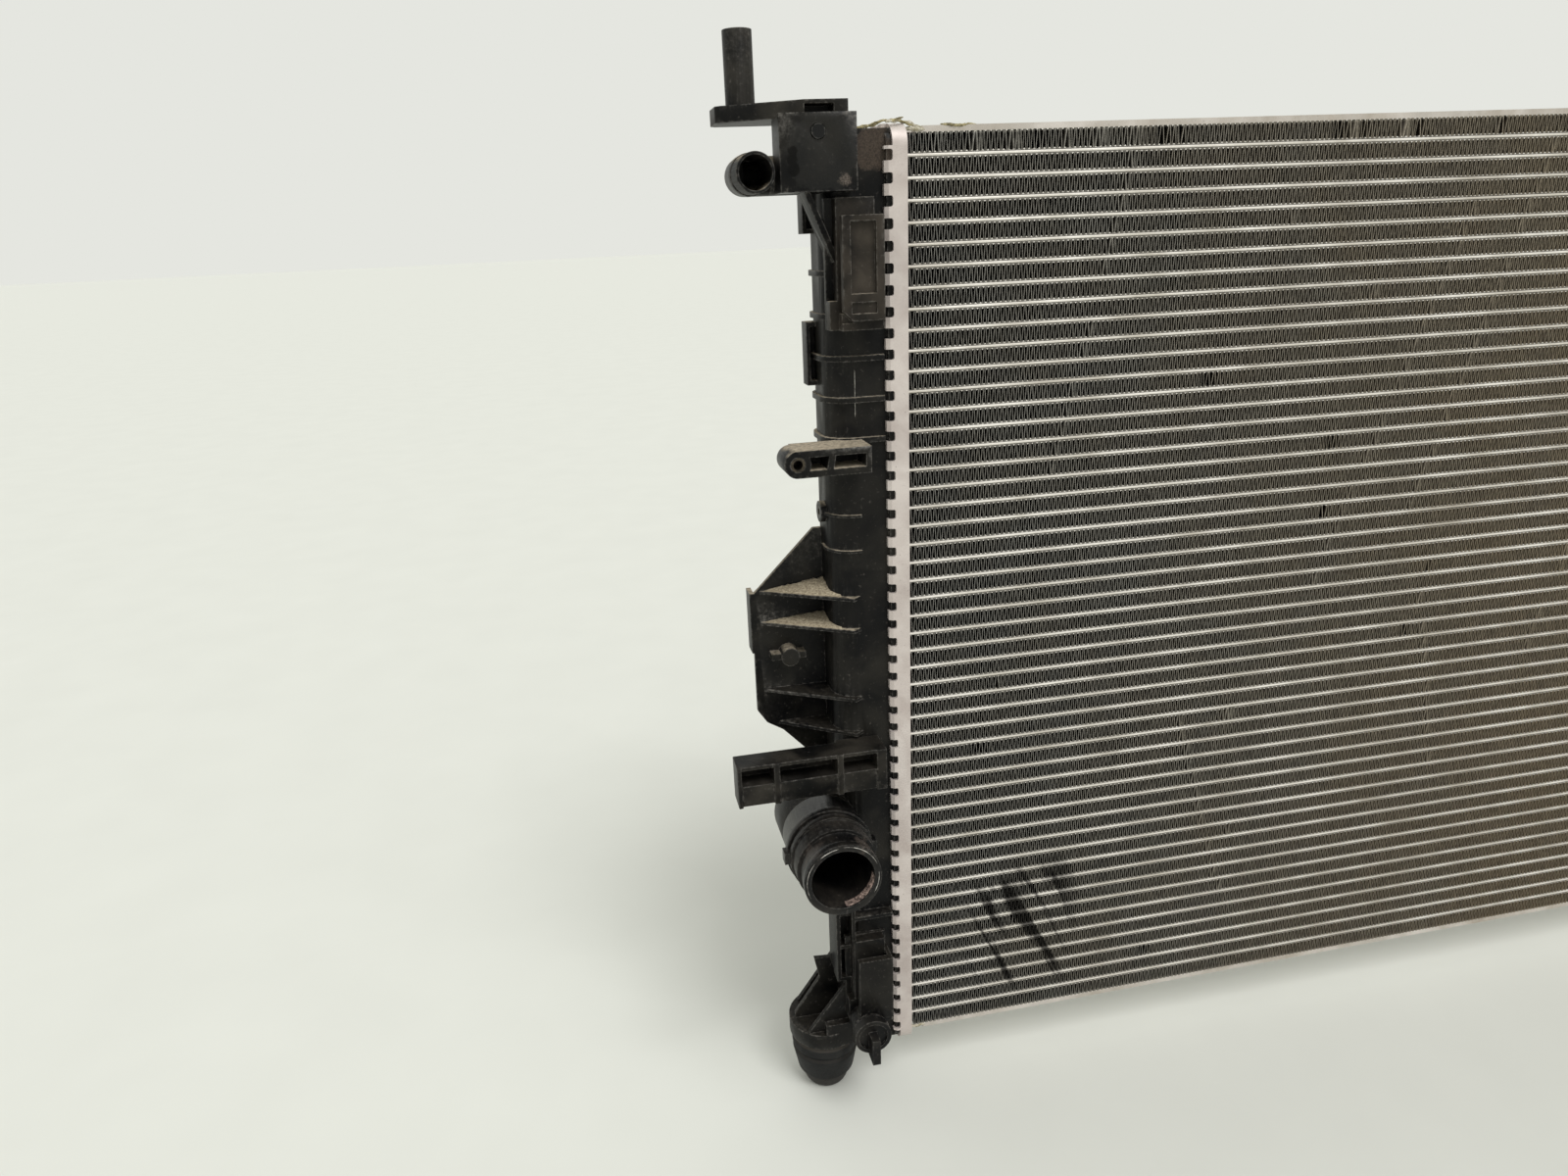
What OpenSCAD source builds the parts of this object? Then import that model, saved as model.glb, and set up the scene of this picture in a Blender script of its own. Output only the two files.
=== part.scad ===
// Car radiator: a brazed aluminium core of flat tubes and fins between two crimped-on plastic
// end tanks, with rubber isolators below, pinned brackets above and a drain plug.
// X runs along the tubes, Y from the hose side to the grille side, Z up.
// The origin is midway between the two lower pegs, on the plane that the isolators rest on.

/* [Core] */
// Length of the tubes between the faces of the two header plates
core_w = 670; // [500:5:900]
// Number of flat tubes
tube_count = 50; // [30:1:60]
// Height from one tube to the next
tube_pitch = 9; // [8:0.1:11]
// Depth of the core, which is the width of a tube
core_d = 26; // [20:0.5:30]
// Thickness of a tube
tube_t = 1.8; // [1.4:0.1:2.4]
// Wall of a tube
tube_wall = 0.35; // [0.25:0.05:0.5]
// Bare length of tube between a header plate and the fins
fin_gap = 1.5; // [1:0.5:15]
// Bare length between a header plate and a side plate
side_plate_gap = 9; // [4:0.5:15]
// Thickness of the floor of a side plate
side_plate_t = 1.2; // [0.8:0.1:2]
// Height of the lips of a side plate
side_lip_h = 2.4; // [2:0.1:6]

/* [Header plates and seals] */
// Depth of a header plate, front to back
header_d = 42; // [36:0.5:50]
// How far a header plate passes the core at its top and bottom
header_over = 3.5; // [2:0.5:8]
// Thickness of the header sheet
header_t = 1.5; // [1.2:0.1:2]
// Height of the closed rim of a header plate
header_rim = 6.5; // [5:0.5:10]
// Width of the gap between two crimp fingers
finger_gap = 4.4; // [3:0.1:5]
// Thickness of the squeezed seal
seal_t = 2.4; // [1.6:0.1:3.5]
// Width of the seal
seal_w = 4; // [3:0.1:5]

/* [Tanks] */
// Reach of a tank from the header face
tank_reach = 36; // [30:1:50]
// Depth of a tank body, front to back
tank_d = 35; // [30:0.5:37]
// Wall of a tank
tank_wall = 2.8; // [2:0.1:4]
// Corner radius of a tank body
tank_corner = 12; // [6:0.5:14]
// Thickness of the foot that the fingers hold
foot_t = 5; // [4:0.1:8]
// How far the ring ribs stand out
rib_out = 1.5; // [1:0.1:4]
// Thickness of the ribs
rib_t = 2.4; // [1.5:0.1:4]

/* [Lower mounts] */
// Height of the core above the plane that the isolators rest on
core_lift = 25; // [20:1:60]
// Distance of a peg from the header face
peg_out = 44.5; // [40:0.5:60]
// Radius of a peg
peg_r = 9; // [6:0.5:10]
// Radius of the platform above an isolator
platform_r = 19.5; // [16:0.5:24]
// Thickness of the platform
platform_t = 9; // [5:0.5:12]
// Radius of an isolator's body
isolator_r = 18.6; // [16:0.1:24]
// Radius of an isolator's nose
nose_r = 12; // [10.5:0.5:14]
// Height of the nose below the resting plane
nose_h = 9; // [6:0.5:14]

/* [Upper mounts] */
// Distance of a pin from the header face
pin_out = 65.5; // [58:0.5:80]
// Radius of a pin
pin_r = 6.1; // [4:0.1:8]
// Length of a pin above its arm
pin_h = 29; // [15:1:45]
// Thickness of the arm
arm_t = 6.3; // [5:0.1:14]
// Width of the bracket pocket
pocket_w = 32; // [28:0.5:40]
// Height of the bracket pocket
pocket_h = 29.5; // [22:0.5:36]

/* [Hose necks] */
// Distance of a main neck's axis from the header face
neck_out = 46.5; // [44:0.5:52]
// Outer radius of a main neck
neck_r = 18; // [15:0.5:19]
// Wall of a main neck
neck_wall = 2.8; // [2:0.1:4]
// Reach of a main neck from the middle plane of the core
neck_reach = 63; // [55:1:80]
// Height of the outlet's axis above the core's lower edge
outlet_z = 136; // [120:1:150]
// Drop of the inlet's axis below the core's upper edge
inlet_drop = 96; // [80:1:120]
// Outer radius of the vent neck
vent_r = 7.8; // [6:0.1:9]
// Reach of the vent neck from the middle plane of the core
vent_reach = 38; // [34:1:50]

/* [Drain] */
// Radius of the plug's cap
cap_r = 9.8; // [9:0.1:13]
// Radius of the plug's stem
stem_r = 5; // [3.5:0.1:5.5]
// Running clearance of the stem, all round
stem_gap = 0.05; // [0.02:0.01:0.1]
// Thickness of the sealing ring
ring_t = 2; // [1.5:0.1:2.6]
// Travel of the plug as it is screwed out
drain_travel = 6; // [3:0.5:8]

/* [Fastenings] */
// Radius of the tapped hole in a shroud insert
tap_r = 2.1; // [1.6:0.1:2.5]
// Outer radius of a shroud insert
insert_r = 3.2; // [3:0.1:4]
// Width of the slot behind a shroud clip
clip_slot = 4.6; // [4.5:0.1:6]

/* [Hidden] */
$fn = 48;

// colours
bare_aluminium = "#C9C6C0";
fin_grey = "#6E6A66";
header_grey = "#BDB6B1";
tank_black = "#2B2C2E";
rubber_black = "#1C1C1D";
brass = "#B59A5A";

// core
core_h = (tube_count + 1) * tube_pitch;
core_z0 = core_lift;
core_z1 = core_z0 + core_h;
tube_z = [for (k = [1:tube_count]) core_z0 + k * tube_pitch];
fin_h = tube_pitch - tube_t;

// header plates, in the left side's own frame: x is 0 on the face towards the core
header_h = core_h + 2 * header_over;
header_mid = (core_z0 + core_z1) / 2;
header_corner = 9;
finger_reach = header_t + seal_t + foot_t;
tube_end = header_t + 1.6;
foot_play = 0.1;
foot_d = header_d - 2 * header_t - 2 * foot_play;
foot_h = header_h - 2 * header_t - 2 * foot_play;
foot_corner = header_corner - header_t;

// tank bodies
half_d = tank_d / 2;
finger_lap = header_d / 2 - header_t - half_d - foot_play;
face_y = -half_d;
pad_y = -half_d - rib_out;
tank_end = 2;
tank_z0 = core_z0;
tank_z1 = core_z1 - tank_end + header_over;
left_rib_count = 5;
left_rib_drop = 55;
right_rib_count = 8;
right_rib_rise = 93;
rib_step = 2 * tube_pitch;
corner_rib_drops = [162, 179];
box_spans = [[104, 28], [38.5, 20]];

// brackets and pins
arm_rise = 2.2;
arm_z = core_z1 + header_over + arm_rise;
arm_d = 18;
pocket_out = 55.5;
pocket_front = half_d + 10.5;
pocket_back = 14;
pocket_wall = 2.5;
pocket_z1 = arm_z + 1.3;
pocket_z0 = pocket_z1 - pocket_h;
leg_play = 0.15;
leg_t = 5;
leg_front = pocket_front - pocket_wall - leg_play;
leg_inset = pocket_wall + leg_play;
leg_z0 = pocket_z0 + pocket_wall + 4;
stud_r = 2.9;
stud_play = 0.3;
stud_out = pocket_out - 16;
stud_z = pocket_z1 - 7;

// necks
neck_bore_r = neck_r - neck_wall;
root_r = neck_r + 1.5;
collar_r = neck_r + 3.4;
vent_out = 67.3;
vent_z = core_z1 - 15.1;
vent_wall = 1.2;
vent_y = 9;
vent_ring = 0.4;
vent_split = pocket_out + 1.5;
outlet_axis_z = core_z0 + outlet_z;
inlet_axis_z = core_z1 - inlet_drop;

// shroud fastenings
boss_out = 54.4;
boss_r = 5.9;
boss_front = half_d + 17.5;
boss_drop = 132.4;
boss_z = core_z1 - boss_drop;
end_boss_z = core_z1 - 162;
end_boss_r = 5;
end_insert_r = 2.6;
insert_len = 12;

// shroud clips
clip_w = 18;
clip_upper_z = core_z1 - 74;
clip_upper_h = 42;
clip_lower_z = core_z0 + 26.5;
clip_lower_h = 37;
clip_x0 = -14 - clip_w;
clip_under = 4;
clip_over = 7;
clip_back = half_d + 7.5;
clip_frame_t = 3.4;

// wing plate and channel, measured up from the core
wing_y = 5;
wing_t = 2.2;
wing_z = core_z0 + 165;
wing_shelves = [23, 41.5, 77, 93];
shelf_t = 1.6;
channel_z = core_z0 + 164;
channel_h = 20.7;
channel_front = half_d + 15.5;
channel_d = 13;
channel_x0 = 89;
channel_x1 = 16;
channel_skin = 2;
channel_band = 10.5;
channel_posts = [[channel_x0, 2], [71.5, 3], [40.5, 3], [channel_x1 + 5, 5]];

// drain
drain_out = 27.3;
drain_z = core_z0 + 22.2;
drain_boss_front = half_d + 16;
drain_boss_r = cap_r - 1.2;
cap_t = 5;
stem_len = drain_travel + 8;
wing_len = 12.5;

// walls and gussets below the outlet
wall_out = 40.7;
cell_rises = [22, 42, 62];
gusset_t = 2.4;

// isolators
iso_top = core_lift;
iso_play = 0.05;
peg_end = 3;

// ---------- helpers ----------

// Puts a part drawn in the left side's own frame at the left end of the core.
module left_side() {
  translate([-core_w / 2, 0, 0]) children();
}

// Puts the same part at the right end, mirrored.
module right_side() {
  mirror([1, 0, 0]) translate([-core_w / 2, 0, 0]) children();
}

// A rectangle with round corners, centred on the origin.
module round_rect(w, h, r) {
  square([w - 2 * r, h], center = true);
  square([w, h - 2 * r], center = true);
  for (sx = [-1, 1], sy = [-1, 1])
    translate([sx * (w / 2 - r), sy * (h / 2 - r)]) circle(r = r);
}

// Extrudes a shape drawn in Y and Z along X, from x0 outboard by len.
module along_x(x0, len) {
  translate([x0, 0, 0]) rotate([90, 0, 90]) linear_extrude(height = len) children();
}

// Extrudes a shape drawn in X and Z along Y, from y0 towards the back by len.
module along_y(y0, len) {
  translate([0, y0 + len, 0]) rotate([90, 0, 0]) linear_extrude(height = len) children();
}

// A round bar along Y from y0 to y1.
module bar_y(r, y0, y1) {
  translate([0, y0, 0]) rotate([-90, 0, 0]) cylinder(r = r, h = y1 - y0);
}

// A round bar along X from x0 to x1.
module bar_x(r, x0, x1) {
  translate([x0, 0, 0]) rotate([0, 90, 0]) cylinder(r = r, h = x1 - x0);
}

// A box from its two corners.
module block(a, b) {
  translate(a) cube([b[0] - a[0], b[1] - a[1], b[2] - a[2]]);
}

// ---------- core ----------

module tube_outline(grow) {
  square([core_d - tube_t, tube_t + 2 * grow], center = true);
  for (s = [-1, 1]) translate([s * (core_d - tube_t) / 2, 0]) circle(r = tube_t / 2 + grow);
}

module tubes() {
  color(bare_aluminium)
    for (z = tube_z)
      translate([0, 0, z])
        along_x(-core_w / 2 - tube_end, core_w + 2 * tube_end)
          difference() {
            tube_outline(0);
            tube_outline(-tube_wall);
          }
}

module fins() {
  color(fin_grey)
    for (k = [0:tube_count])
      translate([-core_w / 2 + fin_gap, -core_d / 2, core_z0 + k * tube_pitch + (k == 0 ? 0 : tube_t / 2)])
        cube([core_w - 2 * fin_gap, core_d, fin_h + (k == 0 || k == tube_count ? tube_t / 2 : 0)]);
}

// A channel with its lips turned away from the core.
module side_plate() {
  plate_w = core_w - 2 * side_plate_gap;
  along_x(-plate_w / 2, plate_w) {
    translate([-core_d / 2, 0]) square([core_d, side_plate_t]);
    for (s = [0, 1])
      translate([s ? core_d / 2 - side_plate_t : -core_d / 2, 0]) square([side_plate_t, side_lip_h]);
  }
}

module side_plate_top() {
  color(bare_aluminium) translate([0, 0, core_z1]) side_plate();
}

module side_plate_bottom() {
  color(bare_aluminium) translate([0, 0, core_z0]) mirror([0, 0, 1]) side_plate();
}

// ---------- header plates and seals ----------

// A gap between two crimp fingers, with its inner corners round.
module finger_slot() {
  slot_reach = finger_reach + 4;
  corner = 1;
  translate([-slot_reach, -finger_gap / 2]) square([slot_reach - header_rim - corner, finger_gap]);
  translate([-slot_reach, -finger_gap / 2 + corner])
    square([slot_reach - header_rim, finger_gap - 2 * corner]);
  for (s = [-1, 1])
    translate([-header_rim - corner, s * (finger_gap / 2 - corner)]) circle(r = corner, $fn = 24);
}

// The section of the rim: it stands up, then its tip is bent in over the foot.
module finger_section() {
  lap_x = finger_reach + 0.05;
  polygon([
    [0, -header_d / 2],
    [-lap_x + 0.6, -header_d / 2],
    [-lap_x - header_t + 0.4, -header_d / 2 + 1.1],
    [-lap_x - header_t + 0.4, -header_d / 2 + header_t + finger_lap],
    [-lap_x, -header_d / 2 + header_t + finger_lap],
    [-lap_x, -header_d / 2 + header_t],
    [0, -header_d / 2 + header_t]
  ]);
}

module header() {
  difference() {
    union() {
      translate([0, 0, header_mid])
        difference() {
          along_x(-header_rim, header_rim) round_rect(header_d, header_h, header_corner);
          along_x(-header_rim - 1, header_rim + 1 - header_t)
            round_rect(header_d - 2 * header_t, header_h - 2 * header_t, header_corner - header_t);
        }
      for (s = [0, 1])
        mirror([0, s, 0])
          translate([0, 0, header_mid - header_h / 2 + header_corner])
            linear_extrude(height = header_h - 2 * header_corner) finger_section();
      for (s = [0, 1])
        translate([0, 0, header_mid])
          rotate([s * 180, 0, 0])
            translate([-finger_reach, -header_d / 2 + header_corner, header_h / 2 - header_t])
              cube([finger_reach, header_d - 2 * header_corner, header_t]);
    }
    for (z = tube_z) {
      translate([0, 0, z]) along_x(-header_t - 1, header_t + 2) tube_outline(0);
      translate([0, 0, z]) along_y(-header_d / 2 - 1, header_d + 2) finger_slot();
    }
    for (s = [-1, 1])
      translate([0, s * 5.5, header_mid])
        block([-finger_reach - 1, -finger_gap / 2, -header_h], [-header_rim, finger_gap / 2, header_h]);
  }
}

module header_left() {
  color(header_grey) left_side() header();
}

module header_right() {
  color(header_grey) right_side() header();
}

module seal() {
  translate([0, 0, header_mid])
    along_x(-header_t - seal_t, seal_t)
      difference() {
        round_rect(foot_d, foot_h, foot_corner);
        round_rect(foot_d - 2 * seal_w, foot_h - 2 * seal_w, foot_corner - seal_w);
      }
}

module seal_left() {
  color(rubber_black) left_side() seal();
}

module seal_right() {
  color(rubber_black) right_side() seal();
}

// ---------- tank bodies ----------

// The section of a tank body: straight sides and a round-cornered outer end.
module body_section(reach, half, corner, x_in) {
  translate([-reach + corner, -half]) square([reach - corner - x_in, 2 * half]);
  translate([-reach, corner - half]) square([corner, 2 * (half - corner)]);
  for (s = [-1, 1]) translate([corner - reach, s * (half - corner)]) circle(r = corner);
}

// The same body seen from the front, with round outer corners at the top and bottom.
module end_outline(reach, z0, z1, corner) {
  translate([corner - reach, z0]) square([reach - corner, z1 - z0]);
  translate([-reach, z0 + corner]) square([corner, z1 - z0 - 2 * corner]);
  for (z = [z0 + corner, z1 - corner]) translate([corner - reach, z]) circle(r = corner);
}

module body_form(inset, x_in) {
  reach = tank_reach - inset;
  half = half_d - inset;
  z0 = tank_z0 + inset;
  z1 = tank_z1 - inset;
  intersection() {
    translate([0, 0, z0])
      linear_extrude(height = z1 - z0) body_section(reach, half, tank_corner - inset, x_in);
    along_y(-half - 1, 2 * half + 2) end_outline(reach, z0, z1, tank_corner + 2 - inset);
  }
}

module tank_foot() {
  translate([0, 0, header_mid])
    along_x(-header_t - seal_t - foot_t, foot_t) round_rect(foot_d, foot_h, foot_corner);
}

// The water space, open to the core.
module tank_hollow() {
  body_form(tank_wall, header_t);
}

// A ring rib round the body, at height z.
module ring_rib(z) {
  translate([0, 0, z - rib_t / 2])
    linear_extrude(height = rib_t)
      body_section(tank_reach + rib_out, half_d + rib_out, tank_corner + rib_out, finger_reach + header_t);
}

// A short rib on the front corner of the body only.
module corner_rib(z) {
  intersection() {
    translate([0, 0, z - rib_t / 4])
      linear_extrude(height = rib_t / 2)
        body_section(tank_reach + 1.2, half_d + 1.2, tank_corner + 1.2, finger_reach + 2);
    block([-tank_reach - 3, -half_d - 3, z - 5], [-tank_corner - 10, 0, z + 5]);
  }
}

// ---------- what the tanks carry ----------

// The pocket that the upper bracket slides into from above. Its back and outer walls stop under
// the bracket's arm.
module bracket_pocket() {
  block([-pocket_out, -pocket_front, pocket_z0], [-pocket_out + pocket_w, -pocket_back, pocket_z1]);
}

module bracket_pocket_hollow() {
  block(
    [-pocket_out + pocket_wall, -pocket_front + pocket_wall, pocket_z0 + pocket_wall],
    [-pocket_out + pocket_w - pocket_wall, -half_d - 0.5, pocket_z1 + 1]
  );
  block(
    [-pocket_out - 1, -leg_front - leg_play, arm_z - leg_play],
    [-pocket_out + pocket_w - pocket_wall, 0, pocket_z1 + 1]
  );
  translate([-stud_out, 0, stud_z])
    bar_y(stud_r + stud_play, -pocket_front - 1, -pocket_front + pocket_wall + 1);
}

// A slanting brace under the pocket.
module pocket_brace() {
  translate([-34, 0, pocket_z0 - 28])
    along_y(-half_d - 5, 12) polygon([[1, 0], [-11, 28.5], [-8.4, 28.5], [3, 2]]);
}

// The pipe that feeds the vent neck, from its corner at x0 to its root at x1 in the tank.
module vent_pipe(x0, x1) {
  translate([0, -vent_y, vent_z]) bar_x(vent_r, x0, x1);
}

// The vent neck turns forward at the outer end of that pipe.
module vent_corner() {
  translate([-vent_out, 0, vent_z]) {
    bar_y(vent_r, -vent_reach, -vent_y);
    bar_y(vent_r + vent_ring, -vent_reach + 13, -vent_reach + 20);
    translate([0, -vent_y, 0]) sphere(r = vent_r);
  }
}

module vent_hollow() {
  bore_r = vent_r - vent_wall;
  translate([0, 0, vent_z]) {
    translate([-vent_out, 0, 0]) bar_y(bore_r, -vent_reach - 1, -vent_y);
    translate([0, -vent_y, 0]) bar_x(bore_r - 1, -vent_out, -tank_reach + tank_corner + 2);
  }
}

// A pocket for a tab of the fan shroud: an upright behind, a framed plate in front, and a slot
// between them that is open at the top and outboard.
module shroud_clip(z, height) {
  x0 = clip_x0;
  x1 = x0 + clip_w;
  front = clip_back + clip_slot;
  block([x0 - 0.6, -clip_back, z - clip_under], [x1 - 2, pad_y, z + height + clip_over]);
  block([x0, -front - clip_frame_t, z], [x1, -front, z + height]);
  block([x0, -front - 1, z - clip_under], [x1, pad_y, z + 3]);
  block([x1 - 2.2, -front - 1, z - clip_under], [x1, pad_y, z + height]);
  block([x0 - 4, -clip_back, z - clip_under], [x0 + 1, pad_y, z + 8]);
}

// The pad on the tank that such a clip stands on, flush with the ring ribs.
module clip_pad(z, height) {
  block([clip_x0 - 4, pad_y, z - clip_under], [clip_x0 + clip_w, face_y + 1, z + height + clip_over]);
}

module shroud_clip_cut(z, height) {
  x0 = clip_x0;
  front = clip_back + clip_slot + clip_frame_t;
  frame_w = 3.6;
  step_z = z + 11;
  block([x0 + frame_w, -front - 1, step_z], [x0 + clip_w - frame_w, -front + 2.2, z + height - 2.4]);
  block([x0 + frame_w, -front - 1, z + 3], [x0 + clip_w - frame_w, -front + 0.9, step_z - 3.5]);
  translate([x0, 0, z]) along_y(-front - 1, clip_frame_t + 1.1) polygon([[-1, -1], [5, -1], [-1, 5]]);
}

// The arm that carries the screw boss for the fan shroud, with two pockets in its face.
module boss_arm() {
  translate([0, 0, boss_z]) {
    translate([-boss_out, 0, 0]) bar_y(boss_r, -boss_front, -half_d);
    block([-boss_out, -boss_front, boss_r - 3], [-21.5, -half_d + 2, boss_r]);
    block([-boss_out, -boss_front, -boss_r], [-21.5, -half_d + 2, 3 - boss_r]);
    block([-boss_out, -half_d - 3, -boss_r], [-21.5, -half_d + 2, boss_r]);
    block([-24, -boss_front, -boss_r], [-21.5, -half_d + 2, boss_r]);
    translate([-42, 0, -boss_r]) along_y(-boss_front, boss_front - half_d)
      polygon([[0, 0], [3, 0], [5, 2 * boss_r], [2, 2 * boss_r]]);
  }
}

module boss_arm_hole() {
  translate([-boss_out, 0, boss_z]) bar_y(insert_r, -boss_front - 1, -boss_front + insert_len);
}

// A round boss on the outer end of the tank, for a grommet screw.
module end_boss() {
  translate([0, -3, end_boss_z]) bar_x(end_boss_r, -tank_reach - 2.6, -tank_reach + 4);
}

module end_boss_hole() {
  translate([0, -3, end_boss_z]) bar_x(end_insert_r, -tank_reach - 3, -tank_reach + 0.4);
}

// A shallow box on the back outer corner, open to the front, of height len from z up.
module side_box(z, len) {
  difference() {
    block([-tank_reach - 4.5, 2, z], [-tank_reach + 8, 11, z + len]);
    block([-tank_reach - 3, 1, z + 2], [-tank_reach + 1.5, 9, z + len - 2]);
  }
}

// The wing plate stands out from the back half of the tank, and four shelves stiffen it.
module wing_plate() {
  translate([0, 0, wing_z])
    along_y(wing_y, wing_t)
      polygon([
        [-30, 0], [-47, 5], [-59, 18], [-67, 23], [-71.5, 30], [-71.5, 91], [-68, 94],
        [-40, 122], [-30, 122]
      ]);
  block([-72.5, wing_y, wing_z + 61], [-70.3, wing_y + 10, wing_z + 92]);
  for (h = wing_shelves)
    translate([0, 0, wing_z + h - shelf_t])
      linear_extrude(height = shelf_t)
        polygon([
          [-(h == wing_shelves[0] ? 61 : 68), wing_y + 0.2], [-27, -half_d - 3], [-22, -half_d + 1],
          [-22, wing_y + 1]
        ]);
  translate([-55, 0, wing_z + 60]) {
    bar_y(4.6, wing_y - 8, wing_y + 1);
    block([-9, wing_y - 6, -1.6], [8, wing_y + 0.5, 1.6]);
  }
}

// The channel bracket across the front: a top, a back, a low front band and four posts.
module channel() {
  front = -channel_front;
  back = front + channel_d;
  top = channel_z + channel_h;
  band = channel_z + channel_band;
  block([-channel_x0, front, top - channel_skin], [-channel_x1, back, top]);
  block([-channel_x1 - 22, front, top - channel_skin], [-channel_x1, face_y, top]);
  block([-channel_x0, back - channel_skin, channel_z], [-channel_x1, back, top]);
  block([-channel_x0, front, channel_z], [-channel_x1, front + channel_skin, band]);
  block([-channel_x0, front, band - channel_skin], [-channel_x1, back, band]);
  block([-channel_x1 - 14, back - channel_skin, channel_z], [-channel_x1, face_y, top]);
  for (post = channel_posts)
    block([-post[0], front - 0.6, channel_z - 0.6], [-post[0] + post[1], back, top]);
}

// A main neck at height z, in front of the tank's face: two collars, the barrel and a rolled lip.
module main_neck(z) {
  translate([-neck_out, 0, z]) {
    bar_y(root_r, -34, face_y);
    bar_y(collar_r, -36.5, -32.5);
    bar_y(collar_r - 0.8, -42, -38.5);
    bar_y(neck_r + 1.5, -51, -36);
    bar_y(neck_r, -neck_reach + 2, -36);
    bar_y(neck_r + 0.6, -neck_reach, -neck_reach + 4);
    for (s = [-1, 1]) block([s * collar_r - 1.6, -40, -2.5], [s * collar_r + 1.6, -34, 3.5]);
  }
}

// The root of such a neck, behind the face and out from the tank's end.
module neck_root(z) {
  translate([-neck_out, 0, z]) bar_y(root_r, face_y, 4);
  block([-neck_out, -half_d + 4, z - root_r], [-20, 4, z + root_r]);
}

module main_neck_hollow(z) {
  hollow_back = 1.2;
  translate([-neck_out, 0, z]) {
    bar_y(neck_bore_r, -neck_reach - 1, hollow_back);
    block([0, -half_d + tank_wall + 4, 3 - neck_bore_r], [neck_out - 22, hollow_back, neck_bore_r - 3]);
  }
}

// Walls and cells below the outlet.
module lower_walls() {
  z0 = core_z0 + 24;
  z1 = outlet_axis_z - root_r + 0.8;
  cell_front = -half_d - 2.5;
  cell_back = -half_d + 6;
  block([-wall_out, cell_front - 1, z0 + cell_rises[0]], [-wall_out + 2, -half_d + 14, z1]);
  block([-33, cell_front - 3, z0], [-31, -half_d + 2, z1]);
  block([-wall_out, cell_back - 2, z0 + cell_rises[0]], [-31, cell_back, z1]);
  for (h = cell_rises) block([-wall_out, cell_front, z0 + h - 2], [-31, cell_back, z0 + h]);
  block([-33, cell_front - 3, z0 + 58], [-finger_reach - 2, -half_d + 2, z0 + 60]);
}

// A slanting gusset on the platform: it starts out beyond the peg and climbs the tank's end.
module gusset(y, reach, rise) {
  top = core_lift + platform_t;
  along_y(y, gusset_t)
    polygon([[-reach, top - 1], [-reach, top + 1], [-36, top + rise], [-30, top + rise], [-30, top - 1]]);
}

// The platform over an isolator, its peg, and the gussets that tie it to the tank.
module foot_platform() {
  translate([-peg_out, 0, 0]) {
    translate([0, 0, core_lift]) cylinder(r = platform_r, h = platform_t);
    translate([0, 0, peg_end]) cylinder(r = peg_r, h = core_lift - peg_end + 1);
  }
  top = core_lift + platform_t;
  block([-peg_out, -15, core_lift], [-14, 15, top]);
  block([-47.5, -half_d - 1.5, core_lift + 1], [-30, -half_d + 8, top + 6]);
  along_y(-gusset_t / 2, gusset_t)
    polygon([[-61, top - 1], [-37, top + 36], [-49, top + 37], [-46.5, top + 24], [-61, top + 3]]);
  gusset(-gusset_t / 2, 61, 37);
  gusset(-15, 56, 27);
  gusset(11, 57, 30);
}

// The boss that the drain plug screws into.
module drain_boss() {
  translate([-drain_out, 0, drain_z]) bar_y(drain_boss_r, -drain_boss_front, -half_d + 3);
}

module drain_boss_hole() {
  translate([-drain_out, 0, drain_z]) bar_y(stem_r + stem_gap, -drain_boss_front - 1, 0);
}

// ---------- tanks ----------

module tank_left() {
  color(tank_black)
    left_side()
      difference() {
        union() {
          body_form(0, header_rim + 0.2);
          tank_foot();
          for (k = [0:left_rib_count - 1]) ring_rib(core_z1 - left_rib_drop - k * rib_step);
          for (drop = corner_rib_drops) corner_rib(core_z1 - drop);
          bracket_pocket();
          pocket_brace();
          vent_pipe(-vent_split, -tank_reach + tank_corner);
          clip_pad(clip_upper_z, clip_upper_h);
          clip_pad(clip_lower_z, clip_lower_h);
          boss_arm();
          end_boss();
          for (span = box_spans) side_box(core_z1 - span[0], span[1]);
          wing_plate();
          neck_root(outlet_axis_z);
          lower_walls();
          foot_platform();
          drain_boss();
        }
        tank_hollow();
        bracket_pocket_hollow();
        vent_hollow();
        boss_arm_hole();
        end_boss_hole();
        main_neck_hollow(outlet_axis_z);
        drain_boss_hole();
      }
}

module tank_right() {
  color(tank_black)
    right_side()
      difference() {
        union() {
          body_form(0, header_rim + 0.2);
          tank_foot();
          for (k = [0:right_rib_count - 1]) ring_rib(core_z0 + right_rib_rise + k * rib_step);
          bracket_pocket();
          pocket_brace();
          clip_pad(clip_upper_z, clip_upper_h);
          clip_pad(clip_lower_z, clip_lower_h);
          boss_arm();
          neck_root(inlet_axis_z);
          foot_platform();
        }
        tank_hollow();
        bracket_pocket_hollow();
        boss_arm_hole();
        main_neck_hollow(inlet_axis_z);
      }
}

// ---------- fittings in one moulding with the tanks ----------

module outlet_neck() {
  color(tank_black)
    left_side()
      difference() {
        main_neck(outlet_axis_z);
        main_neck_hollow(outlet_axis_z);
      }
}

module inlet_neck() {
  color(tank_black)
    right_side()
      difference() {
        main_neck(inlet_axis_z);
        main_neck_hollow(inlet_axis_z);
      }
}

module vent_neck() {
  color(tank_black)
    left_side()
      difference() {
        union() {
          vent_corner();
          vent_pipe(-vent_out, -vent_split);
        }
        vent_hollow();
      }
}

module channel_bracket() {
  color(tank_black) left_side() channel();
}

module shroud_clip_upper_left() {
  color(tank_black)
    left_side()
      difference() {
        shroud_clip(clip_upper_z, clip_upper_h);
        shroud_clip_cut(clip_upper_z, clip_upper_h);
        pocket_brace();
      }
}

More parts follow.
